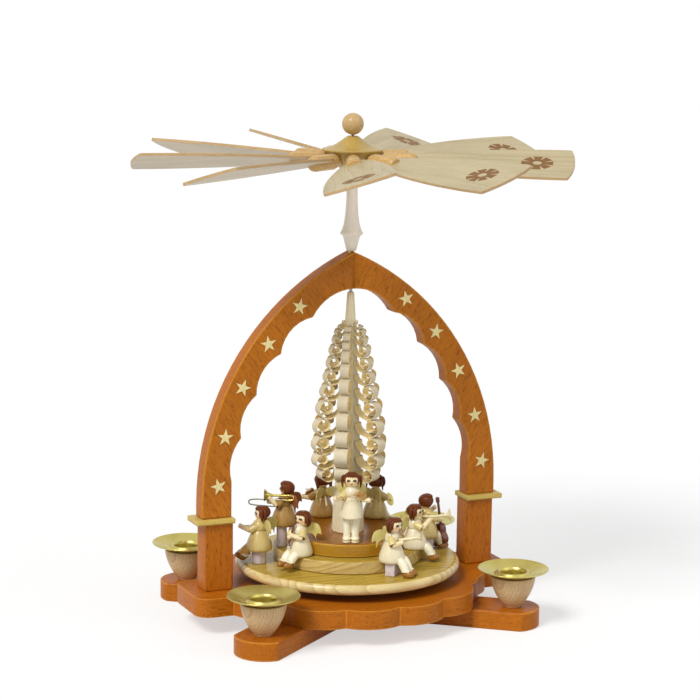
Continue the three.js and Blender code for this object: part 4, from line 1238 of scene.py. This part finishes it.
def pigtails():
    """A fringe, and a thin lock that stands off the head on each side and hangs to the chin."""
    parts = [hair_cap(-3.6), *fringe(), *waves(-26)]
    for s in (1, -1):
        loop = [
            (0.2, 6.2 * s, 4.0), (0.4, 8.2 * s, 3.2), (0.5, 8.9 * s, 0.4), (0.5, 8.7 * s, -3.4),
            (0.5, 8.2 * s, -7.6),
        ]
        parts.append(hanging(loop, [1.2, 1.5, 1.5, 1.2, 0.4]))
    return merge(*parts)


def plaits():
    """Two looped plaits that stand out at the sides, and a smooth back."""
    parts = [hair_cap(-5.0), *fringe(), *waves(-32, out=-0.3)]
    for s in (1, -1):
        loop = [
            (-1.2, 6.2 * s, 4.4), (-1.8, 8.8 * s, 5.2), (-2.2, 10.2 * s, 2.8), (-2.2, 9.9 * s, -1.4),
            (-2.2, 8.8 * s, -3.2), (-2.2, 9.2 * s, -7.4),
        ]
        parts.append(hanging(loop, [1.4, 1.5, 1.6, 1.5, 1.1, 0.5]))
    return merge(*parts)


def pointed():
    """Hair that falls to one long point on each side, dark against the light."""
    parts = [hair_cap(-5.0), *fringe(), *waves(-28)]
    for s in (1, -1):
        ends = [(-4.4, 6.9 * s, -5.4), (-5.2, 7.8 * s, -10.5)]
        parts.append(strand(112 * s, (60, 30, 4), (0.2, 0.6, 0.8), (1.2, 2.0, 2.1, 1.6, 0.35), 0, ends))
    return merge(*parts)


def round_head():
    """Short hair that lies smooth and round."""
    return merge(hair_cap(-5.6, 2.4), *fringe(), *waves(-36, 40, 320, 18, -0.7))


def wing_pair():
    """Two wings sawn from thin board, with an arched top and feather tips."""
    outline = [
        (6.4, -4.4, 0.4), (11.0, -11.0, -0.7), (12.0, -4.4, -0.9), (15.4, -5.6, -0.4), (14.2, 1.6, 0.5),
        (9.4, 5.2, 0.9), (4.0, 5.0, 0.6), (0, 2.2, 0.5),
    ]
    wings = []
    for s in (1, -1):
        one = soften(raise_flat(traced((0, -2.4), outline, 6), -0.65, 0.65), 0.2, 2)
        one = placed(one, at(-5.4, 1.4, WING_LIFT) @ turn_z(128) @ turn_x(90))
        if s < 0:
            bmesh.ops.scale(one, vec=(1, -1, 1), verts=one.verts)
            bmesh.ops.reverse_faces(one, faces=one.faces[:])
        wings.append(one)
    return merge(*wings)


def ribbon_tail():
    """The end of the sash, which lies down the back of the skirt."""
    tail = tube([(-6.7, 0, 20.6), (-8.2, 0, 16.4), (-10.2, 0, 12.0)], [0.7, 0.8, 0.8], 4, 4)
    bmesh.ops.scale(tail, vec=(1, 1.15, 1), verts=tail.verts)
    return tail


def shoe(x, y, z, tilt):
    """A wedge-shaped shoe with a flat sole, and the white band above it."""
    way = at(x, y, z) @ turn_y(tilt)
    body = ball(1.0, (1.9, 0, 2.0), (5.9, 3.8, 4.2), 22, 14)
    sliced(body, (0, 0, 0.1), (0, 0, -1), clear_outer=True)
    bmesh.ops.holes_fill(body, edges=[e for e in body.edges if e.is_boundary], sides=0)
    soften(body, 0.35, 2, 50)
    band = turned([(0, 4.6), (3.7, 4.6), (4.25, 5.0), (4.35, 5.6), (4.25, 6.2), (3.7, 6.6), (0, 6.6)], 28)
    return placed(body, way), placed(band, way @ at(-0.5, 0, 0))


def boot(y):
    """A standing figure's white shoe, a sole and an upper, and the gold band between them."""
    way = at(0.7, y, 0)
    sole = turned([(0, 0.05), (3.6, 0.05), (3.9, 0.4), (3.9, 1.4), (3.6, 1.7), (0, 1.7)], 32)
    upper = turned([(0, 2.8), (3.7, 2.8), (3.95, 3.1), (3.95, 4.3), (3.6, 4.8), (0, 4.8)], 32)
    band = turned([(0, 1.6), (3.65, 1.6), (3.8, 2.0), (3.8, 2.6), (3.65, 2.9), (0, 2.9)], 32)
    for part in (sole, upper, band):
        bmesh.ops.scale(part, vec=(1.2, 1.0, 1.0), verts=part.verts)
    return placed(merge(sole, upper), way), placed(band, way)


def arm(shoulder, elbow, hand):
    """A wide sleeve that opens at the elbow, a disc in its opening that is painted shade, and a forearm with
    a round hand and thumb.
    """
    s, e, h = Vector(shoulder), Vector(elbow), Vector(hand)
    long = (e - s).length
    profile = [
        (0, -1.8), (1.7, -1.5), (2.8, -0.2), (3.3, long * 0.35), (3.7, long * 0.75), (3.95, long - 0.3),
        (3.85, long + 0.1), (3.5, long + 0.1), (3.2, long - 0.4), (0, long - 0.4),
    ]
    sleeve = placed(turned(profile, 28), oriented(s, e))
    # A dark disc in the sleeve's opening, painted as the shade inside it
    inside = turned([(0, long - 0.5), (3.3, long - 0.5), (3.3, long - 0.25), (0, long - 0.2)], 28)
    placed(inside, oriented(s, e))
    down = (h - e).normalized()
    fore = tube([e - down * 0.6, e + down * 2.5, h], [2.3, 2.45, 2.1], 5, 5)
    fist = ball(1.0, h + down * 0.8, (2.6, 2.4, 2.4), 18, 12)
    thumb = ball(0.8, h + down * 1.6 + Vector((0, 0, 1.9)), segments=12, rings=8)
    return sleeve, inside, merge(fore, fist, thumb)


def seated_legs(drop, toes):
    """Short thick legs that slant forward and down out of the dress, their shoes, and the shoes' bands."""
    legs, shoes, bands = [], [], []
    foot = 0.4 - drop
    ankle = foot + 5.2
    for y in (SEATED_SPREAD, -SEATED_SPREAD):
        line = [(4.8, y, 3.6), (10.4, y, 1.8), (13.6, y, (1.8 + ankle) / 2), (15.6, y, ankle)]
        legs.append(tube(line, [3.7, 4.1, 4.1, 3.8], 6, 6))
        body, band = shoe(16.4, y, foot, toes)
        shoes.append(body)
        bands.append(band)
    return legs, shoes, bands


def standing_legs():
    """Straight legs with white shoes, and the shoes' gold bands."""
    whites, bands = [], []
    for y in (STANDING_SPREAD, -STANDING_SPREAD):
        leg = turned([(0, 1.5), (3.3, 1.5), (3.5, 8), (3.75, 18), (3.8, 28), (0, 28)], 28)
        white, gold = boot(y)
        whites += [placed(leg, at(0, y, 0)), white]
        bands.append(gold)
    return whites, bands, []


def angel(
    name, node, place, left, right, hair, drop=None, cloth="dress", legs_in="stocking", wing="wing",
    head=(0, 0, 0), toes=0,
):
    """One figure. Left and right are (elbow, hand), and a figure without a drop stands."""
    standing = drop is None
    way = in_hand(*place)
    body_way = way @ at(0, 0, STAND_LIFT if standing else 0)
    head_way = body_way @ at(*head[:2], 0) @ turn_z(head[2])
    sleeves, insides, skin = [], [], []
    for one in ((LEFT_SHOULDER, *left), (RIGHT_SHOULDER, *right)):
        sleeve, inside, fore = arm(*one)
        sleeves.append((sleeve, 2))
        insides.append((inside, 1))
        skin.append(placed(fore, body_way))
    clothes = merge((dress(standing), 0), *insides, *sleeves)
    sleeve_cloth = "sleeve" if cloth == "dress" else cloth
    # The sleeve openings take the painted shade
    painted(clothes, body_way, name + "_dress", node, cloth, "cuff", sleeve_cloth)
    legs, shoes, bands = standing_legs() if standing else seated_legs(drop, toes)
    stockings = merge(*[(leg, 0) for leg in legs], *[(band, 1) for band in bands])
    painted(stockings, way, name + "_stockings", node, legs_in, "stocking")
    painted(merge(*shoes), way, name + "_shoes", node, "gold" if standing else "shoe")
    face = placed(ball(HEAD_RADIUS, (0, 0, HEAD_UP), segments=32, rings=20), head_way)
    nose = placed(ball(0.8, on_head(0, -8, 0.1), segments=14, rings=8), head_way)
    painted(merge(face, nose, *skin), at(), name + "_skin", node, "skin")
    eyes = [(dab(s * 25, 3, 1.9, 1.15, 0.5, -12 * s), 0) for s in (1, -1)]
    mouth = (dab(0, -28, 1.2, 0.8), 1)
    cheeks = [(dab(s * 37, -14, 1.4, 1.15, 0.15), 2) for s in (1, -1)]
    painted(merge(*eyes, mouth, *cheeks), head_way, name + "_face", node, "black", "red", "blush")
    painted(hair(), head_way, name + "_hair", node, "hair")
    wings = merge((wing_pair(), 0), (ribbon_tail(), 1))
    painted(wings, body_way, name + "_wings", node, wing, "stocking")


def angels():
    angel(
        "standing", "angel_standing", STANDING_PLACE,
        ((5.0, 10.8, 18.0), (9.6, 15.6, 18.4)), ((4.5, -9.8, 18.8), (8.6, -14.6, 19.4)), pigtails,
    )
    angel(
        "flute", "angel_flute", FLUTE_PLACE,
        ((5.5, 8.4, 18.5), (11, 1.8, 20.5)), ((5.5, -8.4, 18.5), (11.5, -1.8, 19)), bob,
        STEP_DROP - 3.5, head=(-2.4, 1.8, 0),
    )
    # Tan dress and golden legs: painted shade
    angel(
        "singer", "angel_singer", SINGER_PLACE,
        ((7.6, 6.6, 20), (16.5, 4.0, 22.5)), ((7.6, -6.6, 19.5), (16.5, -4.0, 19.8)), bob,
        STOOL_DROP - 3, "tan", "shaded_tan_leg", head=(-2.4, -1.4, 22), toes=-24,
    )
    # Brown dress and brown wings: painted shade
    angel(
        "trombonist", "angel_trombone", TROMBONE_PLACE,
        ((6, 9.6, 21.5), (12, 9.2, 27.5)), ((7.5, -7, 20), (13.5, 4.6, 23.5)), round_head,
        BACK_DROP, "brown_dress", wing="wing_brown", head=(-2.6, -1.6, 0),
    )
    # Brown dress: painted shade
    angel(
        "fiddler", "angel_fiddle", FIDDLE_PLACE,
        ((5.0, 10.8, 18.0), (9.6, 15.6, 18.4)), ((5.5, -9.2, 18.5), (10.5, -7, 22)), pointed,
        BACK_DROP, "brown_dress",
    )
    # Tan dress: painted shade
    angel(
        "cymbalist", "angel_cymbals", CYMBAL_PLACE,
        ((4.5, 9.4, 19), (9.4, 9.4, 17.5)), ((4.5, -9.4, 19), (9.4, -9.4, 17.5)), plaits,
        BACK_DROP, "tan",
    )
    angel(
        "horn_player", "angel_horn", HORN_PLACE,
        ((5.8, 8.6, 18.5), (12.5, 3.5, 21.6)), ((4.5, -8.8, 17.8), (9.8, -3.5, 19.8)), bob,
        STOOL_DROP, head=(2.2, -0.6, -18),
    )
    angel(
        "trumpeter", "angel_trumpet", TRUMPET_PLACE,
        ((7, 7.6, 21.5), (15, 2.8, 27.8)), ((7, -7.6, 21.0), (13, -2.8, 26.8)), bob,
        STEP_DROP - 2, head=(0, 0, -18),
    )
    # Tan dress: painted shade
    angel(
        "bassist", "angel_bass", BASS_PLACE,
        ((6, 8.6, 21), (13, 6, 25.5)), ((7, -8.4, 18), (14, -4.5, 16.5)), round_head,
        STOOL_DROP, "tan",
    )


# Instruments and stools


def bell(length, narrow, wide, segments=32):
    """A bell mouth that flares along +Z."""
    outer = [(narrow + (wide - narrow) * (i / 10) ** 3.2, length * i / 10) for i in range(11)]
    inner = [(max(0.3, r - 0.35), z) for r, z in reversed(outer)]
    return turned([(0, 0), *outer, *inner[:-1], (0, 1.5)], segments)


def flute():
    pipe = tube([(6.8, 0, 32.0), (10.5, 0, 22.5), (14.5, 0, 12.0)], [0.9, 1.15, 1.25], 4, 5)
    tip = turned([(0, 0), (1.5, 0), (1.9, 1.6), (1.5, 2.0), (0, 1.6)], 20)
    tip = placed(tip, oriented((14.0, 0, 13.4), (14.9, 0, 10.8)))
    painted(merge((pipe, 0), (tip, 1)), in_hand(*FLUTE_PLACE), "flute", "angel_flute", "walnut", "black")


def fiddle(name, node, held_by):
    """A fiddle with its bow, in the frame of the figure that holds it."""
    outline = [
        (1.7, 3.3, 1.1), (-1.4, 2.7, -0.5), (-4.8, 0, 1.7), (-1.4, -2.7, 1.7), (1.7, -3.3, -0.5),
        (4.8, 0, 1.1),
    ]
    body = soften(raise_flat(traced((4.8, 0), outline, 6), -1.0, 1.0), 0.4)
    neck = tube([(3.5, 0, 0.6), (10.5, 0, 0.9)], [0.7, 0.6], 2, 4)
    scroll = ball(0.95, (10.9, 0, 0.9), segments=14, rings=8)
    strings = [tube([(-2.4, y, 1.5), (10.2, y * 0.6, 1.7)], [0.12, 0.12], 2, 2) for y in (-0.5, 0.5)]
    whole = merge((body, 0), (neck, 1), (scroll, 1), *[(s, 2) for s in strings])
    way = held_by @ at(8.6, 9.6, 22.6) @ turn_z(90) @ turn_y(28) @ turn_x(75)
    painted(whole, way, name, node, "fiddle_wood", "walnut", "horn_wood")
    stick_and_hair = []
    for rise, radius in ((0, 0.32), (1.1, 0.16)):
        line = [(11.0, -16.0, 19.6 + rise), (11.2, 13.0, 25.2 + rise)]
        stick_and_hair.append(tube(line, [radius, radius], 2, 3))
    painted(merge(*stick_and_hair), held_by, name + "_bow", node, "fiddle_wood")


def wind_instrument(name, node, place, line, radii, mouth, mouth_way):
    """A pale pipe with a bell mouth."""
    pipe = tube(line, radii, 4, 6)
    whole = merge(pipe, placed(bell(*mouth), oriented(*mouth_way)))
    painted(whole, in_hand(*place), name, node, "horn_wood")


def cymbals():
    profile = [(0, -0.5), (2.0, -0.3), (6.4, -0.5), (6.6, -0.1), (2.2, 0.5), (1.5, 1.4), (0, 1.6)]
    plates = [placed(turned(profile, 36), at(10, 11 * s, 17) @ turn_x(68)) for s in (1, -1)]
    painted(merge(*plates), in_hand(*CYMBAL_PLACE), "cymbals", "angel_cymbals", "brass", slot="brass")


def instruments():
    flute()
    fiddle("fiddle_front", "angel_standing", in_hand(*STANDING_PLACE, STAND_LIFT))
    fiddle("fiddle_back", "angel_fiddle", in_hand(*FIDDLE_PLACE))
    wind_instrument(
        "long_horn", "angel_horn", HORN_PLACE, [(7.2, -2, 22.2), (14, 0, 23), (21.5, 2, 24.4)],
        [1.0, 1.3, 1.7], (7.5, 1.7, 4.0), ((20.5, 1.7, 24.3), (27.5, 3.5, 25.6)),
    )
    wind_instrument(
        "trumpet", "angel_trumpet", TRUMPET_PLACE, [(6.4, 0.2, 31.2), (16, 1, 30.4), (26.5, 1.8, 31.4)],
        [0.9, 1.2, 1.4], (8, 1.4, 6.3), ((26, 1.8, 31.3), (34, 2.6, 32.1)),
    )
    cymbals()


def trombone():
    bend = [(-6.2, 0, 0.0), (-7.6, 0, -0.9), (-8.0, 0, -2.1), (-7.4, 0, -3.4), (-6.0, 0, -4.1)]
    top = tube([(11, 0, 0), (2, 0, 0), *bend, (2, 0, -4.2)], [1.35, 1.15] + [0.95] * 5 + [0.9], 5, 5)
    mouth = placed(bell(10, 1.35, 6.3, 36), oriented((10, 0, 0), (20, 0, 0)))
    line = [
        (-2, 0, -4.3), (16, 0, -4.6), (32.5, 0, -4.9), (34.8, 0, -5.9), (35.3, 0, -7.4), (34.6, 0, -9.0),
        (32, 0, -9.8), (20, 0, -10.6), (8, 0, -11),
    ]
    slide = tube(line, [0.7] * len(line), 6, 4)
    whole = merge((top, 0), (mouth, 0), (slide, 1))
    way = in_hand(*TROMBONE_PLACE) @ at(-2.4, 8.8, 30.8)
    painted(whole, way, "trombone_dressed", "trombone", "brass", "steel", slot="brass")


def double_bass():
    way = in_hand(*DOUBLE_BASS_PLACE) @ turn_y(DOUBLE_BASS_LEAN)
    outline = [
        (7.6, -6.4, 2.0), (6.2, -0.4, 1.0), (5.4, 4.0, -0.7), (0, 10.4, 2.2), (-5.4, 4.0, 2.2),
        (-6.2, -0.4, -0.7), (-7.6, -6.4, 1.0), (0, -10, 2.0),
    ]
    body = soften(raise_flat(traced((0, -10), outline, 8), -3.2, 3.2), 1.1, 3)
    body = placed(body, at(0, 0, 15) @ turn_z(90) @ turn_x(90))
    neck = tube([(0.5, 0, 22), (0.5, 0, 36), (0.5, 0, 48)], [1.5, 1.35, 1.2], 3, 5)
    scroll = block(3.4, 3.0, 5.6, (0.3, 0, 49.2), 0.8)
    spike = tube([(0, 0, 0.2), (0, 0, 7)], [0.7, 0.9], 2, 4)
    pegs = [tube([(0.3, -2.6, z), (0.3, 2.6, z)], [0.45, 0.45], 2, 3) for z in (47.6, 50.2)]
    whole = merge(body, neck, scroll, spike, *pegs)
    painted(whole, way, "double_bass_dressed", "double_bass", "walnut")


def stools():
    for node in ("stool_singer", "stool_trombone", "stool_horn", "stool_bass"):
        stool_wood = wood("stool_wood_" + node, *STOOL, GRAIN_Z, (0, 0.02, 0.03), 0.0018, roughness=0.5)
        dressed(from_solid(node, 0.35), node, "rotor", stool_wood)


STEEL_NODES = ["spindle_rod", "movement_frame", "comb"]
BRASS_NODES = ["guide_bush", "bottom_bearing", "spring_barrel", "pinned_cylinder", "governor", "winding_key"]


def kept_solids():
    """The hidden metal parts keep the shape of their solids and get only a look."""
    steel = metal("steel", *STEEL, 0.35)
    yellow = metal("movement_brass", *MOVEMENT_BRASS, 0.32)
    for node in STEEL_NODES + BRASS_NODES:
        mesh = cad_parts[node].data
        mesh.materials.clear()
        mesh.materials.append(steel if node in STEEL_NODES else yellow)


# Floor, light and camera
WORLD_LIGHT = 0.4
FLOOR_GLOW = 0.55
FLOOR_GREY = (0.86, 0.86, 0.86, 1)
FLOOR_HALF = 30.0
FLOOR_DROP = 0.0002
WHITE = (1, 1, 1, 1)
# Name, strength, apparent size, and direction as the azimuth from the front and the height, in degrees
SUNS = [("key", 2.4, 22, -60, 48), ("fill", 0.4, 50, 40, 30)]
CAMERA_AZIMUTH = 23.92
CAMERA_ELEVATION = 10.5
CAMERA_ROLL = 0.75
CAMERA_DISTANCE = 2.375
CAMERA_TARGET_Z = 0.2558
SENSOR_WIDTH = 36
# The focal length and the picture's width, in pixels
FOCAL_PIXELS = 2500
PICTURE_PIXELS = 700


def seen_directly(tree):
    """1 for what the camera sees, also by way of a mirror or glass, and 0 for what only lights the scene."""
    rays = add(tree, "LightPath").outputs
    seen = calc(tree, "MAXIMUM", rays["Is Camera Ray"], rays["Is Glossy Ray"])
    return calc(tree, "MAXIMUM", seen, rays["Is Transmission Ray"])


def pale_floor():
    """A floor that is nearly white to the camera and still takes the part's shadow."""
    bm = bmesh.new()
    bmesh.ops.create_grid(bm, x_segments=1, y_segments=1, size=FLOOR_HALF)
    floor = in_scene("floor", as_mesh(bm, "floor"))
    floor.location = (0, 0, -FLOOR_DROP)
    material, tree, shader = blank_material("pale_floor", 0.9, specular=0.0)
    floor.data.materials.append(material)
    seen = seen_directly(tree)
    wire(tree, shader.inputs["Base Color"], blended(tree, seen, FLOOR_GREY, WHITE))
    glow = add(tree, "Emission", {"Color": WHITE, "Strength": 1.0})
    shares = {0: times(tree, seen, FLOOR_GLOW), 1: shader.outputs[0], 2: glow.outputs[0]}
    lit = add(tree, "MixShader", shares)
    wire(tree, tree.nodes["Material Output"].inputs["Surface"], lit.outputs[0])


def white_world():
    """A world that is white to the camera and lights the scene more softly."""
    world = bpy.data.worlds.new("studio")
    bpy.context.scene.world = world
    world.use_nodes = True
    tree = world.node_tree
    tree.nodes.clear()
    strength = plus(tree, times(tree, seen_directly(tree), 1.0 - WORLD_LIGHT), WORLD_LIGHT)
    light = add(tree, "Background", {"Color": WHITE, "Strength": strength})
    add(tree, "OutputWorld", {"Surface": light.outputs[0]})


def suns():
    for name, energy, size, azimuth, height in SUNS:
        lamp = bpy.data.lights.new(name, "SUN")
        lamp.energy = energy
        lamp.angle = math.radians(size)
        a, e = math.radians(azimuth), math.radians(height)
        toward = Vector((math.sin(a) * math.cos(e), -math.cos(a) * math.cos(e), math.sin(e)))
        in_scene(name, lamp).rotation_euler = toward.to_track_quat("Z", "Y").to_euler()


def camera():
    """The photograph's viewpoint: from the front left, a little above, with the camera's slight tilt."""
    a, e, r = (math.radians(v) for v in (CAMERA_AZIMUTH, CAMERA_ELEVATION, CAMERA_ROLL))
    forward = Vector((math.sin(a) * math.cos(e), math.cos(a) * math.cos(e), -math.sin(e)))
    right = Vector((math.cos(a), -math.sin(a), 0))
    up = right.cross(forward)
    tilted_right = right * math.cos(r) + up * math.sin(r)
    tilted_up = up * math.cos(r) - right * math.sin(r)
    data = bpy.data.cameras.new("camera")
    data.lens = SENSOR_WIDTH * FOCAL_PIXELS / PICTURE_PIXELS
    data.sensor_width = SENSOR_WIDTH
    data.clip_end = 100
    holder = in_scene("camera", data)
    turn = Matrix((tilted_right, tilted_up, -forward)).transposed().to_4x4()
    stand = Vector((0, 0, CAMERA_TARGET_Z)) - forward * CAMERA_DISTANCE
    holder.matrix_world = Matrix.Translation(stand) @ turn
    bpy.context.scene.camera = holder


bpy.context.scene.view_settings.view_transform = "Standard"
camera()
pale_floor()
white_world()
suns()
base()
stars()
candle_holders()
turntable()
tree()
rotor_head()
blades()
angels()
instruments()
trombone()
double_bass()
stools()
kept_solids()
